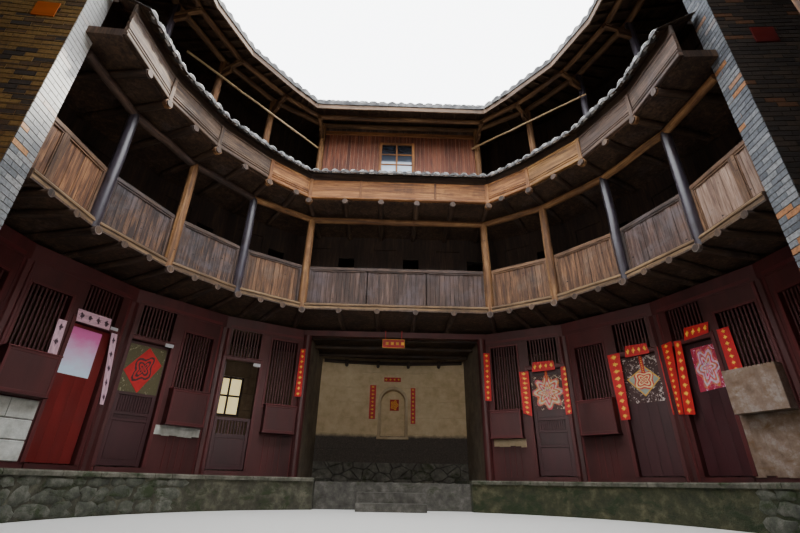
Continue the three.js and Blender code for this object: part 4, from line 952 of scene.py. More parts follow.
def second_floor():
    looks = [bright_boards, rail_boards, rail_boards, warm_boards, hall_rail, warm_boards, warm_boards,
             knotty_boards, pale_rail_boards]
    frame_looks = {0: warm_rail, 5: warm_rail, 6: warm_rail, 8: warm_rail}
    whole = None
    for bay in FAR:
        boards, frames = Shape(), Shape()
        balustrade(boards, frames, bay)
        boards = boards.make(f"balustrade_boards_{bay.index + 1}", looks[bay.index], "old_board")
        frames.make(f"balustrade_frame_{bay.index + 1}", frame_looks.get(bay.index, dark_rail), "old_board")
        whole = whole or boards
    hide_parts("balustrade_2_far")
    sills, near, near_frames = Shape(), Shape(), Shape()
    for bay in FAR:
        sill(sills, bay)
    for bay in NEAR:
        balustrade(near, near_frames, bay)
        sill(near_frames, bay)
    for angle in (NEAR_GALLERY[0], NEAR_GALLERY[-1]):
        end = Bay(angle, 0, 1)
        for q in range(10):
            r = GALLERY_R + 60 + q * 115
            near.block(end, (-22, 22), (r, r + 112), (FLOOR_2_TOP + 5, BOARD_HIGH), "z", 2)
        near_frames.block(end, (-42, 42), (GALLERY_R + 60, GALLERY_R + 1205), (RAIL_TOP - 76, RAIL_TOP),
                          "out", 6)
    sills.make("gallery_sill", sill_wood, "old_board")
    near = near.make("near_balustrade_boards", rail_boards, "old_board")
    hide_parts("gallery_2_near")
    near_frames.make("near_balustrade_frames", dark_rail, "old_board")


def at_point(p, z):
    return [p[0], p[1], z]


GREY_POSTS_2 = {-2.5, -4.5, 3.5, 4.5}
GREY_POSTS_3 = {-4.5, 3.5, 4.5}


def posts_of_floor(corners, z0, z1, radius, grey_set, honey, grey):
    for angle in corners:
        shape = grey if round(angle / MODULE * 2) / 2 in grey_set else honey
        x, y = GALLERY_R * direction(angle)
        shape.log([x, y, z0], [x, y, z1], radius * 1.03, radius * 0.9, 20, 6, 5)


def ring_logs(shape, bays, z, radius, out=0):
    for bay in bays:
        a, b = edge_of(bay, out)
        d = (b - a) / np.linalg.norm(b - a)
        low, high = clear_ends(bay)
        a = a + d * (LOG_CUT if low else -LOG_LAP)
        b = b - d * (LOG_CUT if high else -LOG_LAP)
        shape.log(at_point(a, z), at_point(b, z), radius, radius * 0.97, 16, 7, 5)


def gallery_timber():
    honey, grey, near, dark = Shape(), Shape(), Shape(), Shape()
    posts_of_floor(FAR_CORNERS[1:-1], FLOOR_2_TOP - 148, RING_LOG_2, 90, GREY_POSTS_2, honey, grey)
    posts_of_floor(NEAR_GALLERY, FLOOR_2_TOP, RING_LOG_2, 90, set(), near, near)
    ring_logs(dark, FAR[:3], RING_LOG_2, 74)
    ring_logs(honey, FAR[3:], RING_LOG_2, 74)
    ring_logs(near, NEAR, RING_LOG_2, 74)
    frame_2 = honey.make("gallery_posts_2", post_honey, "honey_wood")
    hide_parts("gallery_frame_2_far")
    near.make("near_gallery_posts_2", post_honey, "honey_wood")
    honey_3, arms, near_3 = Shape(), Shape(), Shape()
    posts_of_floor(FAR_CORNERS[1:-1], FLOOR_3_TOP, RING_LOG_3, 79, GREY_POSTS_3, honey_3, grey)
    posts_of_floor(NEAR_GALLERY, FLOOR_3_TOP, RING_LOG_3, 79, set(), near_3, near_3)
    for out, z, radius in ((0, RING_LOG_3, 69), (EAVE_PURLIN_OUT, EAVE_PURLIN_Z, 60)):
        ring_logs(arms, FAR, z, radius, out)
        ring_logs(near_3, NEAR, z, radius, out)
    for angles, shape in ((FAR_CORNERS[1:-1], arms), (NEAR_GALLERY, near_3)):
        for angle in angles:
            bracket_arm(shape, angle)
    dark.make("ring_log_left", dark_rail, "honey_wood")
    grey.make("gallery_posts_grey", post_grey, "honey_wood")
    frame_3 = honey_3.make("gallery_posts_3", post_honey, "honey_wood")
    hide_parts("gallery_frame_3_far")
    arms.make("bracket_arms", bracket_wood, "honey_wood")
    near_3 = near_3.make("near_gallery_posts_3", post_honey, "honey_wood")
    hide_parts("gallery_frame_3_near")


def bracket_arm(shape, angle):
    """Two stepped arms from the head of a post towards the eave purlin, and a block under the purlin."""
    foot = GALLERY_R * direction(angle)
    tip = corners_at(EAVE_PURLIN_OUT)[ALL_CORNERS.index(angle)]
    long = np.linalg.norm(tip - foot)
    back = (foot - tip) / long
    place = Bay(math.degrees(math.atan2(*back)), 0, 1)
    s = foot @ np.array([place.cos, -place.sin])
    at = foot @ back
    shape.block(place, (s - 38, s + 38), (at - long - 88, at + 60), (8560, 8655), "out", 8, 3)
    shape.block(place, (s - 34, s + 34), (at - 360, at + 40), (8430, 8556), "out", 8, 3)
    shape.block(place, (s - 56, s + 56), (at - long - 60, at - long + 60), (8600, 8640), "s", 6)


# Fascia in front of the third floor
def fascia_bay(shape, top, bay):
    """Foot moulding and three boards, with thin mouldings on them or, over the hall, two cover strips."""
    f, back = FASCIA_OUT, FASCIA_OUT + 45
    shape.rail(bay, [(f - 14, FASCIA_BOTTOM), (f - 22, 6206), (f - 22, 6240), (f - 6, FASCIA_FOOT),
                     (back, FASCIA_FOOT), (back, FASCIA_BOTTOM)])
    for z0, z1 in pairs((FASCIA_FOOT, 6412, 6566, 6700)):
        lean = rng.uniform(-2, 3)
        shape.rail(bay, [(f + 3 + lean, z0), (f + 1 + lean, z1 - 5), (f + 9, z1), (back, z1), (back, z0)])
    # The head board is coloured nearly black as painted shade under the skirt roof
    top.rail(bay, [(f + 16, 6701), (f + 16, FASCIA_TOP - 8), (back, FASCIA_TOP - 8), (back, 6701)])
    if is_hall(bay):
        for s in (-888, 834):
            shape.block(bay, (s - 26, s + 26), (f - 16, f + 4), (FASCIA_FOOT, 6702), "z", 4)
        return
    for z0, z1 in ((6300, 6322), (6352, 6364)):
        shape.rail(bay, [(f - 12, z0), (f - 12, z1), (f + 3, z1 + 14), (f + 3, z0 - 12)])
    shape.rail(bay, [(f - 8, 6672), (f - 14, 6690), (f - 14, 6706), (f + 10, 6706), (f + 10, 6672)])


def fascia_corner(shape, p):
    """Upright block with a foot and a head where two bays meet."""
    place = Bay(math.degrees(math.atan2(*p)), math.hypot(*p), 1)
    shape.block(place, (-38, 38), (-28, 20), (6240, 6712), "z", 5)
    shape.block(place, (-50, 50), (-36, 24), (6182, 6246), "z", 9)
    shape.block(place, (-46, 46), (-32, 24), (6666, 6700), "z", 6)


def fascia_boards():
    left, honey, gold, dark, near, top = (Shape() for _ in range(6))
    by_bay = dict(enumerate((left, left, left, honey, honey, honey, gold, dark, dark)))
    for bay in FAR + NEAR:
        fascia_bay(by_bay.get(bay.index, near), top, bay)
    for i, p in enumerate(corners_at(FASCIA_OUT)):
        if i not in FIRE_WALL_CORNERS:
            fascia_corner(by_bay.get(i if i < 5 else i - 1, near), p)
    left.make("fascia_left", fascia_grey, "honey_wood")
    honey = honey.make("fascia_hall", honey_boards, "honey_wood")
    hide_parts("fascia_far")
    gold.make("fascia_gold", fascia_gold, "honey_wood")
    dark.make("fascia_dark", fascia_dark, "honey_wood")
    top.make("fascia_top_boards", fascia_shade, "honey_wood")
    near = near.make("near_fascia_boards", honey_boards, "honey_wood")
    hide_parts("fascia_near")


def joist_count(bay, floor):
    """Joists of a bay between its corners."""
    if bay.half > 1000:
        return 4 if is_hall(bay) else 3
    return 2 if floor == 2 and bay in FAR else 1


def joists_of(bay, count, start, z):
    """The two ends of each joist between the corners of a bay, then of the one at its first corner."""
    stop = 700
    across = (bay.half * (-1 + 2 * k / (count + 1)) for k in range(1, count + 1))
    joists = [(bay([s, start, z]), bay([s, stop, z])) for s in across]
    if bay.index not in (0, 10):
        tip, foot = corners_at(start)[bay.index], corners_at(0)[bay.index]
        far = foot + (foot - tip) / np.linalg.norm(foot - tip) * stop
        joists.append((np.array(at_point(tip, z)), np.array(at_point(far, z))))
    return joists


def joist_logs():
    """Round bodies of the floor joists, with paler sawn ends."""
    for floor, z, radius, start in ((2, 3655.3, 57, -140), (3, 6104.3, 67, -606)):
        bodies, ends, warm_ends = Shape(), Shape(), Shape()
        for bay in FAR + NEAR:
            count = joist_count(bay, floor)
            for k, (a, b) in enumerate(joists_of(bay, count, start, z)):
                corner = k == count
                warm = floor == 3 and (corner or bay.index > 3 and not is_hall(bay))
                step = (b - a) / np.linalg.norm(b - a)
                wide = radius * (1.16 if corner else 1.0)
                bodies.log(a, b, radius, radius, 16, 3, 3)
                end = warm_ends if warm else ends
                end.log(a - step * 9, a + step * (60 if corner else 5), wide, wide, 16, 2, 0)
        bodies.make(f"joist_logs_{floor}", joist_wood, "log_wood")
        ends.make(f"joist_ends_{floor}", log_ends, "log_wood")
        if warm_ends.count:
            warm_ends.make(f"joist_ends_warm_{floor}", post_honey, "log_wood")


# Roof tiles: rows of trough tiles with a cap row between, laid in courses
TILE_SECTION = np.array([(-0.5, -15), (-0.32, -4), (-0.2, 20), (-0.07, 37), (0.07, 37), (0.2, 20),
                         (0.32, -4), (0.5, -15)])
TILE_ACROSS = np.concatenate([TILE_SECTION[:, 0], [0.5, -0.5]])


def tile_courses(low, high, count, lift, spread, depth):
    """Distances up the slope and heights of a row of tiles; each course starts above the end of the last."""
    d = np.repeat(np.linspace(low, high, count + 1), 2)[1:-1]
    rise = np.array([v for _ in range(count) for v in (lift + rng.uniform(*spread), 0)])
    under = np.full((len(d), 2), -depth, float)
    return d[:, None], np.concatenate([TILE_SECTION[:, 1] + rise[:, None], under], 1)


def tile_strip(shape, surface, s, d0, d1, course, pitch):
    """One row of tiles from the low end d0 to the high end d1 at s across the slope."""
    jog = rng.uniform(-4, 4)
    d, h = tile_courses(d0, d1, max(1, round(abs(d1 - d0) / course)), 17, (-3, 5), 92)
    u = TILE_ACROSS * pitch + jog
    shape.sweep(surface(s + u[None, :], d, h))


def eave_distance(angle):
    """Distance from the middle of the yard to the eave in one direction."""
    ray = direction(angle)
    points = corners_at(EAVE_OUT)
    turn = points[:, 0] * ray[1] - points[:, 1] * ray[0]
    ahead = points @ ray > 0
    for i in range(len(points) - 1):
        if ahead[i] and ahead[i + 1] and turn[i] <= 1e-6 < turn[i + 1] + 2e-6:
            share = turn[i] / (turn[i] - turn[i + 1])
            return np.linalg.norm(points[i] + (points[i + 1] - points[i]) * share)
    return GALLERY_R + EAVE_OUT


EAVE_ANGLES = np.arange(-180, 180.01, 0.1)
EAVE_TABLE = np.array([eave_distance(a) for a in EAVE_ANGLES])


def eave_radius(angle):
    return np.interp(angle, EAVE_ANGLES, EAVE_TABLE)


def roof_top(x, y):
    r = np.hypot(x, y)
    outer = RIDGE_TOP - (r - RIDGE_R) * (RIDGE_TOP - OUTER_EAVE_TOP) / (OUTER_EAVE_R - RIDGE_R)
    eave = eave_radius(np.degrees(np.arctan2(x, y)))
    yard = EAVE_TOP + (r - eave) * (RIDGE_TOP - EAVE_TOP) / (RIDGE_R - eave)
    return np.where(r >= RIDGE_R, outer, yard)


def roof_surface(bay):
    """Points of the main roof's tiles: s across, d from the middle of the yard, h above the slope."""
    def at(s, d, h):
        x, y = d * bay.sin + s * bay.cos, d * bay.cos - s * bay.sin
        z = roof_top(x, y) + h - TILE_BED
        return np.stack([x + 0 * z, y + 0 * z, z], -1)
    return at


def inner_rows(bay):
    """Low and high end of each tile row of a bay on the slope towards the yard."""
    def own(p):
        return np.array([p[0] * bay.cos - p[1] * bay.sin, p[0] * bay.sin + p[1] * bay.cos])
    low = [own(p) for p in edge_of(bay, EAVE_OUT)]
    top = [own(RIDGE_R * direction(ALL_CORNERS[bay.index + k])) for k in (0, 1)]
    line = np.array([top[0], low[0], low[1], top[1]])
    count = round((top[1][0] - top[0][0]) / TILE_PITCH)
    pitch = (top[1][0] - top[0][0]) / count
    for k in range(count):
        s = top[0][0] + (k + 0.5) * pitch
        start = min(np.interp(s + e * pitch, line[:, 0], line[:, 1]) for e in (-0.3, 0, 0.3)) - 18
        stop = math.sqrt(RIDGE_R ** 2 - s * s) - 60
        if stop - start > 200:
            yield s, start, stop, pitch


def outer_rows(bay):
    """Low and high end of each tile row of one module of the outer slope."""
    half = OUTER_EAVE_R * sin_of(MODULE / 2)
    count = round(2 * half / TILE_PITCH)
    pitch = 2 * half / count
    for k in range(count):
        s = -half + (k + 0.5) * pitch
        edge = (abs(s) - 0.3 * pitch) / bay.tan
        stop = max(math.sqrt(RIDGE_R ** 2 - s * s) + 60, edge) if abs(s) < RIDGE_R else edge
        start = math.sqrt(OUTER_EAVE_R ** 2 - (abs(s) + pitch / 2 + 4) ** 2) - 4
        if start - stop > 200:
            yield s, start, stop, pitch


def main_roof(name, bays, node):
    tiles = Shape()
    for bay in bays:
        surface = roof_surface(bay)
        for s, d0, d1, pitch in inner_rows(bay):
            tile_strip(tiles, surface, s, d0, d1, 190, pitch)
    for bay in outer_bays(bays):
        surface = roof_surface(bay)
        for s, d0, d1, pitch in outer_rows(bay):
            tile_strip(tiles, surface, s, d0, d1, 205, pitch)
    ob = tiles.make(name, tiles_look, "tile")
    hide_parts(node)


def outer_bays(bays):
    """One-module parts of the outer slope."""
    parts = []
    for bay in bays:
        count = round(2 * bay.half_angle() / MODULE)
        for k in range(count):
            mid = bay.mid + (k - (count - 1) / 2) * MODULE
            parts.append(Bay(mid, cos_of(MODULE / 2), sin_of(MODULE / 2)))
    return parts


def rim_tile(shape, place, u, half, up, lift, length, slope, plugged):
    """The end of one cap or trough tile; a cap is plugged with mortar."""
    arc = [(b * half, up * math.sqrt(max(0, 1 - b * b)) * half) for b in np.linspace(-1, 1, 9)]
    lift += rng.uniform(-5, 5)
    start = rng.uniform(-8, 6)
    rows = []
    for o in (start, length):
        top = [(u + x, o, z + lift + slope * o) for x, z in arc]
        rows.append([place(*p) for p in top + [(x, y, z - 13) for x, y, z in top[::-1]]])
    shape.sweep(rows)
    if plugged:
        plug = [(u + x * 0.84, z * 0.8 + lift - 6) for x, z in arc]
        shape.sweep([[place(x, start + 10 + o, z) for x, z in plug] for o in (0, 60)])


def rim_tiles(caps, troughs, place, long, pitch, length, slope):
    """Cap and trough tile ends along an eave: place(u, o, h) gives a point along, back and up."""
    count = round(long / pitch)
    pitch = long / count
    for n in range(2 * count - 1):
        u = (n + 1) / 2 * pitch + rng.uniform(-5, 5)
        if n % 2:
            rim_tile(troughs, place, u, 0.24 * pitch, -0.5, -8, length, slope, False)
        else:
            rim_tile(caps, place, u, 0.33 * pitch, 0.78, 6, length, slope, True)


def eaves():
    """Tile ends, eave boards and rafters of the main roof towards the yard."""
    caps, troughs, boards, under = Shape(), Shape(), Shape(), Shape()
    o = EAVE_OUT
    for bay in BAYS:
        place, long = edge_place(bay, o, EAVE_TOP - 46)
        rim_tiles(caps, troughs, place, long, 240, 150, 0.5)
        boards.rail(bay, [(o + 4, EAVE_BOTTOM), (o + 34, EAVE_BOTTOM), (o + 34, 8726), (o + 4, 8726)])
        boards.rail(bay, [(o + 16, 8730), (o + 40, 8730), (o + 40, EAVE_TOP - 66), (o + 16, EAVE_TOP - 66)])
        rafters(under, bay)
    parts = 252
    for k in range(parts):
        lining(under, k * 360 / parts - 180, (k + 1) * 360 / parts - 180)
    # The cap tile ends carry a painted sky highlight as well as their pale lime
    caps.make("eave_tile_ends", pale_and_lit_tile_rim, "tile")
    troughs.make("eave_trough_ends", tiles_look, "tile")
    boards.make("eave_boards", eave_wood, "old_board")
    under.make("roof_lining", roof_under, "old_board")


def rafters(shape, bay):
    count = max(4, round(2 * bay.half_angle() / MODULE * 5))
    low, high = edge_of(bay, EAVE_OUT + 40), edge_of(bay, 1350)
    for k in range(count):
        t = (k + 0.5) / count
        a, b = (p[0] + (p[1] - p[0]) * t for p in (low, high))
        side = np.array([-(b - a)[1], (b - a)[0]]) / np.linalg.norm(b - a) * 34
        rows = []
        for q in (0, 0.3, 0.65, 1):
            p = a + (b - a) * q
            z = float(roof_top(*p)) - TILE_BED
            rows.append([[*(p + side * e), z + h] for e, h in oblong(-1, 1, RAFTER_LOW, RAFTER_HIGH)])
        shape.sweep(rows)


def lining(shape, a0, a1):
    """Boards under the tiles between two directions, seen from below between the rafters."""
    stops = np.linspace(0.012, 0.985, 17)
    for t0, t1 in pairs(stops):
        rows = []
        for angle in (a0, a1):
            eave = float(eave_radius(angle))
            row = []
            for t, h in oblong(t0 + 0.001, t1 - 0.001, LINING_LOW, LINING_HIGH):
                r = eave + t * (RIDGE_R - eave)
                z = EAVE_TOP + t * (RIDGE_TOP - EAVE_TOP) - TILE_BED + h
                row.append([*(r * direction(angle)), z])
            rows.append(row)
        shape.sweep(rows)


# Half of the ridge cap: distance from the ridge line and height
RIDGE_HALF = [(128, 10405), (128, 10452), (100, 10470), (78, 10500), (55, 10535), (20, 10552)]
RIDGE_PIECES = 84


def ridge():
    shape = Shape()
    section = [(RIDGE_R - r, z) for r, z in RIDGE_HALF] + [(RIDGE_R + r, z) for r, z in RIDGE_HALF[::-1]]
    for k in range(RIDGE_PIECES):
        a0, a1 = k * 360 / RIDGE_PIECES, (k + 1) * 360 / RIDGE_PIECES - 0.15
        shape.sweep([spoke(a, section) for a in (a0, (a0 + a1) / 2, a1)])
    shape.make("ridge_cap", tiles_look, "tile")


def outer_bed(r):
    """Height of the bed of the tiles on the outer slope."""
    return RIDGE_TOP - (r - RIDGE_R) * OUTER_SLOPE - TILE_BED


def outer_tile_ends():
    shape = Shape()
    count = 292
    for k in range(count):
        a0, a1 = k * 360 / count, (k + 1) * 360 / count
        for mid, half, up in (((a0 + a1) / 2, 0.29 * (a1 - a0), 38), (a1, 0.25 * (a1 - a0), -38)):
            rows = []
            for r, z in ((10498, 8620), (10380, 8679)):
                top = [spoke(mid + b * half, [(r, z + up * (1 - b * b))])[0] for b in np.linspace(-1, 1, 5)]
                rows.append(top + [p - [0, 0, 13] for p in top[::-1]])
            shape.sweep(rows)
    shape.make("outer_tile_ends", pale_and_lit_tile_rim, "tile")


def outer_lining():
    """Rafters and boards under the tiles of the outer slope."""
    shape = Shape()
    rafter_count, parts = 126, 84
    for k in range(rafter_count):
        place = Bay(k * 360 / rafter_count, 0, 1)
        rows = []
        for r in (10440, 9100, 7000):
            z = outer_bed(r)
            rows.append([place([s, r, h]) for s, h in oblong(-32, 32, z + RAFTER_LOW, z + RAFTER_HIGH)])
        shape.sweep(rows)
    for k in range(parts):
        for r0, r1 in pairs(np.linspace(6960, 10450, 13)):
            low = [(r0 + 2, outer_bed(r0)), (r1 - 2, outer_bed(r1))]
            section = [(r, z + LINING_LOW) for r, z in low] + [(r, z + LINING_HIGH) for r, z in low[::-1]]
            shape.sweep([spoke(a, section) for a in (k * 360 / parts, (k + 1) * 360 / parts)])
    shape.make("outer_roof_lining", roof_under, "old_board")


SKIRT_LINES = (SKIRT_EDGE_OUT, FASCIA_OUT, SKIRT_BACK_OUT)
SKIRT_SLOPE = (SKIRT_BACK_TOP - SKIRT_EDGE_TOP) / (SKIRT_BACK_OUT - SKIRT_EDGE_OUT)


def skirt_surface(bay):
    """Points of the skirt roof: t along the bay, out from the posts, h above the slope."""
    ends = np.array([edge_of(bay, o) for o in SKIRT_LINES])

    def at(t, out, h):
        t, out, h = np.broadcast_arrays(t, out, h)
        a, b = (np.stack([np.interp(out, SKIRT_LINES, ends[:, k, c]) for c in (0, 1)], -1) for k in (0, 1))
        p = a + (b - a) * t[..., None]
        z = SKIRT_EDGE_TOP + SKIRT_SLOPE * (out - SKIRT_EDGE_OUT) + h
        return np.concatenate([p, z[..., None]], -1)
    return at


def skirt_timber(under, surface, count, long):
    """Rafters and lining boards under the tiles of one bay of the skirt roof."""
    for k in range(count):
        t = (k + 0.5) / count
        rows = []
        for o in (SKIRT_EDGE_OUT + 12, FASCIA_OUT, SKIRT_BACK_OUT):
            rows.append([surface(t + a / long, o, h) for a, h in oblong(-26, 26, -62, -40)])
        under.sweep(rows)
    outs = (SKIRT_EDGE_OUT + 8, FASCIA_OUT, SKIRT_BACK_OUT)
    section = [(o, -42) for o in outs] + [(o, -34) for o in outs[::-1]]
    for ends in pairs(np.linspace(0, 1, 5)):
        under.sweep([[surface(t, o, h) for o, h in section] for t in ends])


def skirt_roof(name, bays, node):
    tiles, caps, troughs, under = Shape(), Shape(), Shape(), Shape()
    for bay in bays:
        surface = skirt_surface(bay)
        count = 18 if is_hall(bay) else round(2 * bay.end(SKIRT_BACK_OUT) / TILE_PITCH)
        for k in range(count):
            jog = rng.uniform(-0.015, 0.015) / count
            d, h = tile_courses(SKIRT_EDGE_OUT - 4, SKIRT_BACK_OUT - 2, 4, 12, (-3, 4), 18)
            tiles.sweep(surface((k + 0.5) / count + jog + TILE_ACROSS[None, :] / count, d, h - 22))
        place, long = edge_place(bay, SKIRT_EDGE_OUT, SKIRT_EDGE_TOP - 26)
        rim_tiles(caps, troughs, place, long, 218, 120, SKIRT_SLOPE)
        skirt_timber(under, surface, count, long)
    ob = tiles.make(name, tiles_look, "tile")
    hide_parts(node)
    caps.make(name + "_ends", pale_and_lit_tile_rim, "tile")
    troughs.make(name + "_troughs", tiles_look, "tile")
    under.make(name + "_lining", roof_under, "old_board")


# Third floor wall with a window over the hall
def plank_run(shape, lines, bay, s, out, z, wide=(88, 112)):
    """Upright boards side by side, with pale lines of painted daylight between them."""
    for low, high in boards_between(s[0], s[1], wide):
        shape.block(bay, (low + 2.5, high - 2.5), (out + rng.uniform(-2, 2), out + 34), z, "z", 2.5)
        if low > s[0]:
            lines.block(bay, (low - 2.3, low + 2.3), (out + 7, out + 30), z)


def window_frame(shape, bay, x0, x1, z0, z1):
    """Frame, middle post and two cross bars in each half."""
    for x in (x0, x1):
        shape.block(bay, (x - 34, x + 34), (-36, 22), (z0 - 60, z1 + 60), "z", 4)
    for z in (z0 - 60, z1):
        shape.block(bay, (x0 + 34, x1 - 34), (-34, 22), (z, z + 60), "s", 4)
    middle = (x0 + x1) / 2
    shape.block(bay, (middle - 24, middle + 24), (-24, 16), (z0, z1), "z", 4)
    for k in (1, 2):
        z = z0 + (z1 - z0) * k / 3
        for a, b in ((x0 + 34, middle - 24), (middle + 24, x1 - 34)):
            shape.block(bay, (a, b), (-20, 12), (z - 16, z + 16), "s", 3)


def hall_window():
    bay = FAR[4]
    boards, lines, frames, dark, glass = (Shape() for _ in range(5))
    x0, x1, z0, z1 = -494, 348, 7380, 8342
    low, high = 7292, 8616
    end = bay.half - 84
    for s, z in (((-end, x0), (low, high)), ((x1, end), (low, high)), ((x0, x1), (low, z0 - 4)),
                 ((x0, x1), (z1 + 4, high))):
        plank_run(boards, lines, bay, s, -20, z)
    plank_run(dark, dark, bay, (-end, end), -14, (8734, 8852), (150, 220))
    window_frame(frames, bay, x0, x1, z0, z1)
    frames.block(bay, (-end, end), (-51, 51), (8619, 8731), "s", 8, 4)
    ob = boards.make("hall_window_boards", hall_boards, "honey_wood")
    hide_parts("hall_window_wall")
    lines.make("hall_window_lines", pale_edge_painted_light, "honey_wood")
    frames.make("hall_window_frame", honey_boards, "honey_wood")
    dark.make("hall_window_head_boards", dark_rail, "honey_wood")
    glass.block(bay, (x0 + 30, x1 - 30), (-3, 1), (z0 - 5, z1 + 5), "z")
    glass.make("hall_window_glass", painted_sky_glass_look(), "honey_wood")


def painted_sky_glass_look():
    """Dark glass with painted sky light in its lower part."""
    look = Look("pane", 0.06)
    at = look.place()
    level = look.plus(look.axes(at)[2], look.noise(at, (1.2, 1.2, 2.5), 3, 0.5), 0.35)
    # Painted sky: pale blue at the foot of the pane, fading to dark glass higher up
    tones = [(0.0, (0.62, 0.74, 0.9)), (0.35, (0.30, 0.38, 0.5)), (0.6, (0.05, 0.06, 0.08)),
             (1, (0.015, 0.018, 0.025))]
    look.bsdf.inputs["Specular IOR Level"].default_value = 0.8
    return look.finish(look.ramp(look.step(level, 7.45, 8.35), tones))


# Ground floor
WINDOWS = {0: (220, 800, 1880, 3250), 1: (220, 800, 1900, 3020), 2: (1080, 1690, 2030, 3020),
           3: (220, 800, 1900, 3020)}
DOOR_FROM = {0: 1010, 1: 1010, 2: 200}
CUPBOARDS = {0: (140, 800, 1300, 1820), 1: (150, 860, 1300, 1900), 2: (1020, 1740, 1440, 2020)}


def bars(shape, place, s0, s1, z0, z1, out=30, pitch=60, wide=29, deep=30):
    count = max(2, round((s1 - s0) / pitch))
    for k in range(1, count):
        s = s0 + (s1 - s0) * k / count + rng.uniform(-2, 2)
        shape.block(place, (s - wide / 2, s + wide / 2), (out, out + deep), (z0, z1), "z", 2.5)


def casing(shape, place, s0, s1, z0, z1, wide, out, foot=True):
    """A frame standing a little proud round an opening."""
    low = z0 - wide if foot else z0
    for s in ((s0 - wide, s0), (s1, s1 + wide)):
        shape.block(place, s, (out, 2), (low, z1 + wide), "z", 4)
    shape.block(place, (s0, s1), (out + 2, 2), (z1, z1 + wide), "s", 4)
    if foot:
        shape.block(place, (s0, s1), (out + 2, 2), (low, z0), "s", 4)


def cupboard(shape, place, s0, s1, z0, z1):
    """Boards over and under a cupboard that stands out from the front, and a frame on its face."""
    shape.block(place, (s0 - 12, s1 + 12), (-206, 5), (z1, z1 + 26), "s", 5)
    shape.block(place, (s0 - 12, s1 + 12), (-202, 5), (z0 - 22, z0), "s", 5)
    for s in ((s0, s0 + 34), (s1 - 34, s1)):
        shape.block(place, s, (-198, -188), (z0, z1), "z", 3)
    for z in ((z1 - 40, z1), (z0, z0 + 40)):
        shape.block(place, (s0 + 34, s1 - 34), (-196, -188), z, "s", 3)


def ground_fronts():
    for side, word in ((-1, "left"), (1, "right")):
        trim, grille = Shape(), Shape()
        for index in range(4):
            place = front_bay(side, index)
            bars(grille, place, *WINDOWS[index])
            casing(trim, place, *WINDOWS[index], 44, -16)
            if index in DOOR_FROM:
                d0 = DOOR_FROM[index]
                d1 = d0 + DOOR_WIDE
                bars(grille, place, d0 + 45, d1 - 45, LIGHT_BOTTOM, LIGHT_TOP)
                casing(trim, place, d0, d1, DOOR_BOTTOM, DOOR_TOP + 8, 62, -22, False)
                trim.block(place, (d0 - 62, d1 + 62), (-26, 2), (DOOR_TOP + 70, DOOR_TOP + 92), "s", 5)
            if index in CUPBOARDS and (side, index) != (1, 2):
                cupboard(trim, place, *CUPBOARDS[index])
            panel_lines(trim, place, index)
        trim.make(f"front_trim_{word}", maroon_part, "maroon_wood")
        grille.make(f"front_bars_{word}", bar_paint, "maroon_wood")


def panel_lines(shape, place, index):
    """Rails and upright cover strips on the solid boards round the windows."""
    s0, s1, z0, _ = WINDOWS[index]
    shape.block(place, (s0 - 44, s1 + 44), (-20, 2), (z0 - 96, z0 - 50), "s", 4)
    low = CUPBOARDS[index][3] + 40 if index in CUPBOARDS else 640
    for k in range(1, 5):
        s = s0 + (s1 - s0) * k / 5
        if z0 - 100 - low > 60:
            shape.block(place, (s - 9, s + 9), (-8, 2), (low, z0 - 98), "z", 3)
        if index in CUPBOARDS:
            shape.block(place, (s - 9, s + 9), (-8, 2), (560, CUPBOARDS[index][2] - 24), "z", 3)
    for s in (90, FRONT_BAY - 90):
        shape.block(place, (s - 22, s + 22), (-10, 2), (470, 3340), "z", 4)
    shape.block(place, (100, FRONT_BAY - 100), (-14, 2), (3360, 3420), "s", 5)


def infill():
    """Plastered and stone-built stretches under the windows."""
    white, tan, pink = Shape(), Shape(), Shape()
    place = front_bay(-1, 2)
    for course in range(3):
        z0 = 580 + course * 274
        at = 1000
        while at < 1779:
            stop = min(1780, at + rng.uniform(230, 420))
            if 1780 - stop < 130:
                stop = 1780
            out = (-rng.uniform(14, 26), 4)
            white.block(place, (at + 4, stop - 4), out, (z0 + 4, z0 + 270), "s", 12, 3)
            at = stop
    for place, shape, s, z in ((front_bay(-1, 1), white, (110, 950), (1090, 1276)),
                               (front_bay(1, 0), tan, (140, 820), (1111, 1276)),
                               (front_bay(1, 2), pink, (930, FRONT_BAY - 60), (553, 1405))):
        for a, b in pairs(np.linspace(s[0], s[1], 7)):
            ragged = rng.uniform(0, 40)
            shape.block(place, (a, b + 0.5), (-13, 3), (z[0] + ragged, z[1]), "z", 3)
    place = front_bay(1, 2)
    pink.block(place, (1012, 1748), (-212, 4), (1410, 2050), "z", 10, 3)
    pink.block(place, (930, 1012), (-13, 3), (1404, 1860), "z", 3)
    for s in (1120, 1330, 1540):
        z = (rng.uniform(1440, 1560), rng.uniform(1780, 1980))
        pink.block(place, (s, s + 150), (-217, -210), z, "z", 3)
    white.make("white_stone_infill", whitewash, "plaster")
    tan.make("tan_plaster_band", plaster, "plaster")
    pink.make("patched_plaster", pink_plaster, "plaster")


# Hall: plastered wall with an arched niche, beam, board and strips
def on_wall(p):
    p = np.asarray(p, float)
    return np.stack([p[..., 0], np.sqrt(WALL_IN_R ** 2 - p[..., 0] ** 2) + p[..., 1], p[..., 2]], -1)


NICHE_MID, NICHE_HALF, NICHE_BOTTOM, NICHE_SPRING = 25, 345, 1574, 2484


def niche_section(inside, outside, front):
    """Sections of the moulding round the niche, from its left foot over the arch to its right foot."""
    feet = (NICHE_BOTTOM - 30, 2000, NICHE_SPRING)
    path = [((-inside, z), (-outside, z)) for z in feet]
    for a in np.linspace(180, 0, 19)[1:-1]:
        path.append([(r * cos_of(a), NICHE_SPRING + r * sin_of(a)) for r in (inside, outside)])
    path += [((inside, z), (outside, z)) for z in feet[::-1]]
    return [on_wall([[NICHE_MID + x0, front, z0], [NICHE_MID + x1, front, z1], [NICHE_MID + x1, 8, z1],
                     [NICHE_MID + x0, 8, z0]]) for (x0, z0), (x1, z1) in path]


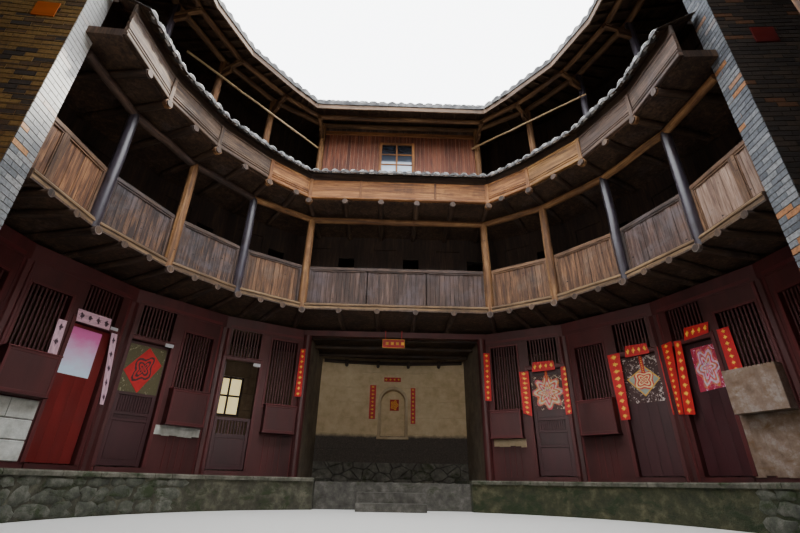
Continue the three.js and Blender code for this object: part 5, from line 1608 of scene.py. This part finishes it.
def niche():
    shape = Shape()
    shape.sweep(niche_section(NICHE_HALF, NICHE_HALF + 74, -40))
    shape.sweep(niche_section(NICHE_HALF + 22, NICHE_HALF + 52, -52))
    shape.block(on_wall, (NICHE_MID - 440, NICHE_MID + 440), (-90, 8),
                (NICHE_BOTTOM - 90, NICHE_BOTTOM - 30), "s", 8, 5)
    shape.make("niche_moulding", plaster, "plaster")


def hall_beams():
    shape = Shape()
    shape.sweep([spoke(a, oblong(8110, 8222, 3520, 3597)) for a in np.linspace(-14, 14, 9)])
    for y in (5750, 6500, 7250):
        shape.log([-2030, y, 3545], [2030, y, 3545], 52, 50, 14, 6, 4)
    for x in (-1337, -438, 442, 1315):
        shape.block(on_wall, (x - 45, x + 45), (-210, -112), (3430, 3597), "z", 6)
        shape.block(on_wall, (x - 28, x + 28), (-196, -124), (3405, 3430), "z", 8)
    shape.make("hall_beams", joist_wood, "honey_wood")


def hall_board():
    """Board with four raised squares, hung from the beam on two straps, and its gilt rim."""
    board, gold = Shape(), Shape()
    board.block(plain, (-278, 214), (5190, 5214), (3195, 3383), "s", 3)
    for x in (-220, 156):
        board.block(plain, (x - 9, x + 9), (5196, 5206), (3380, 3600), "z", 2)
    for z in ((3187, 3197), (3381, 3391)):
        gold.block(plain, (-282, 218), (5184, 5216), z, "s", 2)
    for x in ((-288, -278), (214, 224)):
        gold.block(plain, x, (5184, 5216), (3187, 3391), "z", 2)
    for k in range(4):
        x = -210 + k * 118
        gold.block(plain, (x, x + 66), (5185, 5191), (3256, 3322), "z", 14)
    board.make("hall_board", red_plate, "door_wood")
    gold.make("hall_board_rim", gold_paint, "door_wood")


def hall_papers():
    sheets = (("niche_paper", plain, 8484, (-61, 196, 2281, 2593), niche_gold),
              ("niche_strip_left", on_wall, -4, (-645, -470, 2010, 2938), gold_strip),
              ("niche_strip_right", on_wall, -4, (524, 655, 1900, 2878), gold_strip),
              ("niche_header", on_wall, -4, (-247, 236, 3046, 3170), gold_header))
    for name, place, out, edges, look in sheets:
        shape = Shape()
        shape.sheet(place, oblong(*edges), out)
        shape.make(name, look, "door_wood")


# Doors: each leaf in its own frame, pins at x = 0, yard face at -Y
def leaf_place(side, index, open_deg, out):
    bay = front_line(side, index)
    at_end = index != 2
    edge = DOOR_FROM[index] + (DOOR_WIDE - DOOR_PLAY if at_end else DOOR_PLAY)
    towards = -side if at_end else side
    x, y, _ = bay([edge - FRONT_BAY / 2, out, 0])
    turn = math.radians(-side * bay.mid + open_deg * towards)
    c, s = math.cos(turn), math.sin(turn)

    def place(p):
        p = np.asarray(p, float)
        px, py = towards * p[..., 0], p[..., 1]
        return np.stack([x + c * px - s * py, y + s * px + c * py, p[..., 2] + DOOR_BOTTOM + DOOR_PLAY], -1)
    return place


LEAF_WIDE = DOOR_WIDE - 2 * DOOR_PLAY
LEAF_HIGH = DOOR_TOP - DOOR_BOTTOM - 2 * DOOR_PLAY


def leaf_frame(shape, place, panels, lattices):
    """Stiles and rails round recessed panels; panels and lattices are (low, high) runs."""
    w, h, st = LEAF_WIDE, LEAF_HIGH, 68
    shape.block(place, (0, st), (-LEAF_THICK, 0), (0, h), "z", 3)
    shape.block(place, (w - st, w), (-LEAF_THICK, 0), (0, h), "z", 3)
    runs = sorted(list(panels) + list(lattices))
    rails = [(0, runs[0][0])] + [(a[1], b[0]) for a, b in pairs(runs)] + [(runs[-1][1], h)]
    for a, b in rails:
        shape.block(place, (st, w - st), (-LEAF_THICK, 0), (a, b), "s", 3)
    for a, b in panels:
        shape.block(place, (st, w - st), (-30, -10), (a, b), "z")
        shape.block(place, (st + 18, w - st - 18), (-37, -28), (a + 18, b - 18), "z", 4)
    for a, b in lattices:
        shape.block(place, (st, w - st), (-12, -6), (a, b), "z")
        bars(shape, place, st, w - st, a, b, -36, 44, 20, 22)


def plank_leaf(shape, place):
    """A flush leaf of wide planks with two rails at its back."""
    for a, b in pairs(np.linspace(0, LEAF_WIDE, 5)):
        shape.block(place, (a + 0.6, b - 0.6), (-LEAF_THICK, -8), (0, LEAF_HIGH), "z", 1.5)
    for z in (260, 1650):
        shape.block(place, (40, LEAF_WIDE - 40), (-9, 0), (z, z + 120), "s", 2)


def pin(shape, place, low, high):
    turn = circle(PIN_SIDES)
    ring = np.stack([PIN_RADIUS * np.cos(turn), PIN_RADIUS * np.sin(turn)], 1)
    shape.sweep([place(np.column_stack([ring, np.full(PIN_SIDES, z)])) for z in (low, high)])


def door(side, word, index):
    shape = Shape()
    name = f"door_{word}_{index + 1}"
    place = leaf_place(side, index, 88 if name == "door_left_1" else 0, FRONT_THICK)
    if index == 0:
        leaf_frame(shape, place, [(90, 520), (560, 800), (1090, LEAF_HIGH - 80)], [(850, 1040)])
    elif name == "door_left_2":
        leaf_frame(shape, place, [(90, 700), (740, 800), (1190, LEAF_HIGH - 70)], [(850, 1130)])
    else:
        plank_leaf(shape, place)
    pin(shape, place, -17.7, 60)
    pin(shape, place, LEAF_HIGH - 60, LEAF_HIGH + 7.7)
    look = leaf_red if name == "door_left_3" else leaf_dark
    ob = shape.make(name + "_leaf", look, "door_wood", name)
    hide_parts(name)


def doors():
    for side, word in ((-1, "left"), (1, "right")):
        for index in range(3):
            door(side, word, index)
    half_gate()


def half_gate():
    """Low gate with palings above a panel, hung in front of the open door."""
    shape = Shape()
    place = leaf_place(-1, 0, 0, 0)
    w, h = LEAF_WIDE, 950
    for a, b in ((0, 58), (w - 58, w)):
        shape.block(place, (a, b), (0, 32), (0, h), "z", 3)
    for a, b in ((0, 80), (560, 640), (h - 62, h)):
        shape.block(place, (58, w - 58), (1, 31), (a, b), "s", 3)
    shape.block(place, (58, w - 58), (10, 22), (80, 560), "z")
    shape.block(place, (76, w - 76), (5, 12), (98, 542), "z", 4)
    bars(shape, place, 58, w - 58, 640, h - 62, 6, 56, 26, 20)
    pin(shape, place, -17, 60)
    pin(shape, place, h - 60, h - 20)
    ob = shape.make("half_gate_leaf", leaf_dark, "door_wood", "half_gate_left")
    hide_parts("half_gate_left")


# Fire walls of slim bricks
BRICK_COURSE, BRICK_LONG = 84, 265


def brick_runs(row):
    """Ends of the bricks of a course, measured from the middle of the yard."""
    r, stop = FIRE_WALL_IN_R + 13, WALL_IN_R - 32
    long = BRICK_LONG if row % 2 else BRICK_LONG / 2
    while r < stop - 20:
        q = min(r + long, stop)
        if stop - q < 60:
            q = stop
        yield r, q
        r, long = q, BRICK_LONG


def fire_wall(side, word, broad_look, end_look):
    """Bricks on both broad faces and on the end towards the yard, round a core of mortar."""
    ends, broad, core = Shape(), Shape(), Shape()
    place = Bay(side * FIRE_WALL_AT, 0, 1)
    half = FIRE_WALL_THICK / 2

    def top(r):
        return float(roof_top(*(r * direction(side * FIRE_WALL_AT)))) - 280

    for row, z in enumerate(range(467, 10100, BRICK_COURSE)):
        high = z + BRICK_COURSE - 7
        for r, q in brick_runs(row):
            if high < min(top(r), top(q)):
                for face in (-1, 1):
                    s = sorted((face * (half - rng.uniform(0, 4)), face * (half - 60)))
                    broad.block(place, s, (r + 3, q - 3), (z + 3, high), "out", 3)
        if high < top(FIRE_WALL_IN_R):
            for a, b in pairs((-half, half / 3 if row % 2 else -half / 3, half)):
                out = (FIRE_WALL_IN_R + rng.uniform(0, 3), FIRE_WALL_IN_R + 14)
                ends.block(place, (a + 3, b - 3), out, (z + 3, high), "s", 3)
    broad.make(f"fire_wall_bricks_{word}", broad_look, "brick")
    ends.make(f"fire_wall_end_bricks_{word}", end_look, "brick")
    low, high = FIRE_WALL_IN_R + 9, WALL_IN_R - 40
    outline = [(low, 466), (high, 466)] + [(r, top(r)) for r in np.linspace(high, low, 12)]
    core.sweep([[place([s, r, z]) for r, z in outline] for s in (-half + 9, half - 9)])
    core = core.make(f"fire_wall_mortar_{word}", mortar, "brick")
    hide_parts(f"fire_wall_{word}")


def wall_plate(side, word, r, z, look):
    shape = Shape()
    s = sorted((side * 190, side * 204))
    shape.block(Bay(side * FIRE_WALL_AT, 0, 1), s, r, z, "out", 3)
    shape.make(f"wall_plate_{word}", look, "brick")


def pole(shape, a, b):
    """A bamboo pole with a raised ring at each joint."""
    a, b = np.array(a, float), np.array(b, float)
    shape.log(a, b, 25, 20, 10, 9, 6)
    step = (b - a) / np.linalg.norm(b - a) * 7
    for k in range(1, 9):
        p, radius = a + (b - a) * k / 9, 27 - 0.5 * k
        shape.log(p - step, p + step, radius, radius, 10, 2, 0)


def plates():
    """Small bare plates on the fire walls and over the doors, and the drying poles under the eaves."""
    wall_plate(-1, "left", (4970, 5274), (6150, 6440), orange_plate)
    wall_plate(1, "right", (5070, 5400), (6180, 6500), dull_plate)
    shape, poles = Shape(), Shape()
    for index, s, z in ((2, (188, 324), (2708, 2762)), (1, (984, 1138), (2650, 2716)),
                        (0, (1001, 1147), (2590, 2667))):
        shape.block(front_bay(-1, index), s, (-27, -23), z, "s", 1.5)
    shape.make("door_plates", bare_plate, "door_wood")
    pole(poles, (-4542, 1708, 8451), (-2070, 4001, 7968))
    pole(poles, (1885, 4173, 8257), (4040, 2174, 8141))
    poles.make("drying_poles", bamboo, "honey_wood")


# Papers, each sheet (name, side, bay, depth, corners as (s, z) round the sheet, look, leaf it hangs on)
FRAME_OUT, LEAF_OUT = -24, 77
SHEETS = [
    ("poster_left", -1, 2, LEAF_OUT, ((365, 1860), (890, 1860), (890, 2610), (365, 2610)), poster,
     "door_left_3"),
    ("strip_left_1", -1, 2, FRAME_OUT, ((985, 1475), (1120, 1475), (1170, 2620), (1035, 2620)), pink_strip,
     HOUSE),
    ("strip_left_2", -1, 2, FRAME_OUT, ((11, 1492), (101, 1492), (284, 2660), (169, 2660)), pink_strip,
     HOUSE),
    ("header_left_1", -1, 2, FRAME_OUT - 4, ((343, 2683), (915, 2669), (942, 2869), (358, 2878)),
     pink_header, HOUSE),
    ("board_left", -1, 1, LEAF_OUT, ((1040, 1770), (1700, 1770), (1700, 2610), (1040, 2610)), olive_board,
     "door_left_2"),
    ("lozenge_left", -1, 1, LEAF_OUT - 5, ((1374, 1768), (1690, 2127), (1353, 2591), (1072, 2306)),
     lozenge_panel, "door_left_2"),
    ("header_right_1", 1, 0, FRAME_OUT - 4, ((1097, 2616), (1589, 2627), (1580, 2826), (1143, 2826)),
     gold_header, HOUSE),
    ("strip_right_1", 1, 0, FRAME_OUT, ((827, 1774), (1003, 1709), (1033, 2641), (821, 2648)), gold_strip,
     HOUSE),
    ("strip_right_2", 1, 0, FRAME_OUT, ((1677, 1703), (1819, 1723), (1872, 2686), (1699, 2667)), gold_strip,
     HOUSE),
    ("star_right", 1, 0, LEAF_OUT, ((1040, 1833), (1690, 1833), (1690, 2548), (1040, 2548)), star_panel,
     "door_right_1"),
    ("tag_right_1", 1, 0, LEAF_OUT - 5, ((1343, 2426), (1399, 2426), (1399, 2631), (1343, 2631)),
     gold_strip, "door_right_1"),
    ("header_right_2", 1, 1, FRAME_OUT - 4, ((1198, 2640), (1640, 2647), (1619, 2844), (1234, 2857)),
     gold_header, HOUSE),
    ("strip_right_3", 1, 1, FRAME_OUT, ((896, 1521), (1061, 1521), (1108, 2756), (866, 2741)), gold_strip,
     HOUSE),
    ("torn_right", 1, 1, LEAF_OUT, ((1031, 1804), (1708, 1804), (1708, 2655), (1031, 2655)), torn_paper,
     "door_right_2"),
    ("lozenge_right", 1, 1, LEAF_OUT - 5, ((1378, 1908), (1689, 2198), (1462, 2454), (1109, 2244)),
     gold_panel, "door_right_2"),
    ("tag_right_2", 1, 1, LEAF_OUT - 7, ((1397, 2335), (1459, 2335), (1459, 2650), (1397, 2650)),
     gold_strip, "door_right_2"),
    ("strip_right_4", 1, 1, FRAME_OUT - 2, ((1776, 1545), (1830, 1538), (1834, 2745), (1786, 2740)),
     gold_wide, HOUSE),
    ("strip_right_5", 1, 2, FRAME_OUT - 2, ((2, 1538), (125, 1529), (246, 2772), (6, 2745)), gold_wide,
     HOUSE),
    ("strip_right_6", 1, 2, FRAME_OUT - 6, ((144, 1523), (328, 1502), (417, 2732), (291, 2747)), gold_strip,
     HOUSE),
    ("header_right_3", 1, 2, FRAME_OUT - 4, ((478, 2715), (909, 2741), (954, 2919), (531, 2932)),
     gold_header, HOUSE),
    ("strip_right_7", 1, 2, FRAME_OUT, ((1035, 1524), (1252, 1523), (1229, 2757), (1039, 2751)), gold_wide,
     HOUSE),
    ("panel_right", 1, 2, LEAF_OUT, ((442, 1851), (895, 1879), (895, 2581), (473, 2580)), violet_panel,
     "door_right_3"),
]


def papers():
    for name, side, index, out, corners, look, body in SHEETS:
        shape = Shape()
        shape.sheet(front_bay(side, index), corners, out)
        shape.make(name, look, "door_wood", body)
    hall_strip("left", (-2169, -2022), (-2156, -2041))
    hall_strip("right", (2018, 2158), (2046, 2191))


def hall_strip(word, low, high):
    """A strip of paper on a board in front of a hall post, its edges given at the foot and at the head."""
    strip, board = Shape(), Shape()
    strip.sheet(plain, ((low[0], 2072), (low[1], 2072), (high[1], 3135), (high[0], 3135)), 5262)
    ends = ((low, 2060), (high, 3145))
    board.sweep([[(x, y, z) for x, y in oblong(*edges, 5263, 5285)] for edges, z in ends])
    strip.make(f"hall_strip_{word}", gold_strip, "door_wood")
    board.make(f"hall_strip_board_{word}", leaf_dark, "door_wood")


# Podium: field stones in its face and a cast nosing along its edge
def podium_face():
    stones, edge = Shape(), Shape()
    for a0, a1 in ((-94, -54), (82, 94)):
        for z, high in ((75, 86), (232, 84), (358, 56)):
            angle = a0 + rng.uniform(0, 2)
            while angle < a1:
                half = rng.uniform(85, 200)
                step = math.degrees(half / 3760)
                d = direction(angle + step)
                centre = [*(d * 3766), z + rng.uniform(-12, 12)]
                stones.stone(centre, [d[1], -d[0], 0], [0, 0, 1], [-d[0], -d[1], 0],
                             (half * 1.05, high * rng.uniform(0.92, 1.1), rng.uniform(18, 34)), 11)
                angle += 2 * step
    count = 26
    for a0, a1 in ((-120, -20.6), (20.6, 120)):
        for k in range(count):
            rows = []
            for a in (a0 + (a1 - a0) * k / count, a0 + (a1 - a0) * (k + 1) / count - 0.08):
                lump = rng.uniform(-5, 5)
                section = ((3732 + lump, 412), (3728 + lump, 452), (3742, 469), (3905, 469), (3905, 412))
                rows.append(spoke(a, section))
            edge.sweep(rows)
    stones.make("podium_stones", rubble, "stone")
    edge.make("podium_nosing", nosing, "stone")


# Window in the back wall, seen through the open door, its panes glowing with painted daylight
def room_window():
    frames, panes = Shape(), Shape()
    place = Bay(-31, WALL_IN_R, 1)
    a, b, z0, z1 = -336, 336, 1874, 2846
    for s in ((a, a + 50), (-25, 25), (b - 50, b)):
        frames.block(place, s, (20, 70), (z0, z1), "z", 3)
    for z in (z0, (z0 + z1) / 2 - 20, z1 - 50):
        frames.block(place, (a + 50, b - 50), (24, 66), (z, z + 46), "s", 3)
    panes.block(place, (a + 40, b - 40), (42, 47), (z0 + 20, z1 - 20))
    frames.make("room_window_frame", leaf_dark, "door_wood")
    look = Look("lit_pane", 0.4)
    glow_mottle = look.noise(look.place(), (3, 3, 3), 3, 0.5)
    colour = look.mix(glow_mottle, (0.85, 0.62, 0.22), (0.95, 0.82, 0.45))
    # Painted daylight: the panes glow by emission, with no lamp behind them
    look.tree.links.new(colour, look.bsdf.inputs["Emission Color"])
    look.bsdf.inputs["Emission Strength"].default_value = 1.0
    panes.make("room_window_panes", look.finish(colour), "plaster")


def stage():
    mesh = bpy.data.meshes.new("floor")
    half = 60
    mesh.from_pydata([(x, y, -0.002) for x, y in oblong(-half, half, -half, half)], [], [(0, 1, 2, 3)])
    look = Look("floor", 0.9)
    look.bsdf.inputs["Base Color"].default_value = (0.62, 0.62, 0.60, 1)
    mesh.materials.append(look.mat)
    ob = new_object("floor", mesh)


def lamp(name, kind, energy, colour, comes_from):
    """A lamp shining from the direction given."""
    data = bpy.data.lights.new(name, kind)
    data.energy = energy
    data.color = colour
    ob = new_object(name, data)
    ob.rotation_euler = Vector(comes_from).to_track_quat("Z", "Y").to_euler()
    return ob


def light():
    world = bpy.data.worlds.new("sky")
    world.use_nodes = True
    back = world.node_tree.nodes["Background"]
    back.inputs[0].default_value = (0.95, 0.97, 1.0, 1)
    back.inputs[1].default_value = 8.0
    bpy.context.scene.world = world
    sun = lamp("soft_sun", "SUN", 9.0, (1.0, 0.95, 0.86), (0.55, 0.50, 0.63))
    sun.data.angle = math.radians(5)
    fill = lamp("soft_fill", "AREA", 120, (1.0, 0.95, 0.88), (0, -0.97, 0.16))
    fill.data.shape = "RECTANGLE"
    fill.data.size, fill.data.size_y = 3.6, 1.6
    fill.location = (0, -1.2, 3.2)


# Camera solved from the photo
FOCAL_PX, IMAGE_WIDE = 437.305, 800
PITCH, YAW, ROLL = 26.4845, 1.2451, 1.0548
EYE = (-0.129, -4.620, 0.390)


def camera():
    cam = bpy.data.cameras.new("camera")
    cam.sensor_fit = "HORIZONTAL"
    cam.sensor_width = 36
    cam.lens = FOCAL_PX * 36 / IMAGE_WIDE
    cam.clip_start, cam.clip_end = 0.05, 200
    ob = new_object("camera", cam)
    p, y, r = (math.radians(v) for v in (PITCH, YAW, ROLL))
    right = np.array([math.cos(y), -math.sin(y), 0])
    forward = np.array([math.cos(p) * math.sin(y), math.cos(p) * math.cos(y), math.sin(p)])
    up = np.array([-math.sin(p) * math.sin(y), -math.sin(p) * math.cos(y), math.cos(p)])
    tilted_right = math.cos(r) * right + math.sin(r) * up
    tilted_up = math.cos(r) * up - math.sin(r) * right
    m = Matrix.Identity(4)
    for row in range(3):
        m[row] = tilted_right[row], tilted_up[row], -forward[row], EYE[row]
    ob.matrix_world = m
    bpy.context.scene.camera = ob


second_floor()
gallery_timber()
fascia_boards()
joist_logs()
main_roof("main_roof_tiles_far", FAR, "main_roof_far")
main_roof("main_roof_tiles_near", SIDE_BAYS + NEAR, "main_roof_near")
eaves()
ridge()
outer_tile_ends()
outer_lining()
skirt_roof("skirt_tiles_far", FAR, "skirt_roof_far")
skirt_roof("skirt_tiles_near", NEAR, "skirt_roof_near")
hall_window()
ground_fronts()
doors()
infill()
niche()
hall_beams()
hall_board()
hall_papers()
room_window()
fire_wall(-1, "left", brick_left, brick_end_left)
fire_wall(1, "right", brick_right, brick_end)
plates()
papers()
podium_face()
stage()
light()
camera()
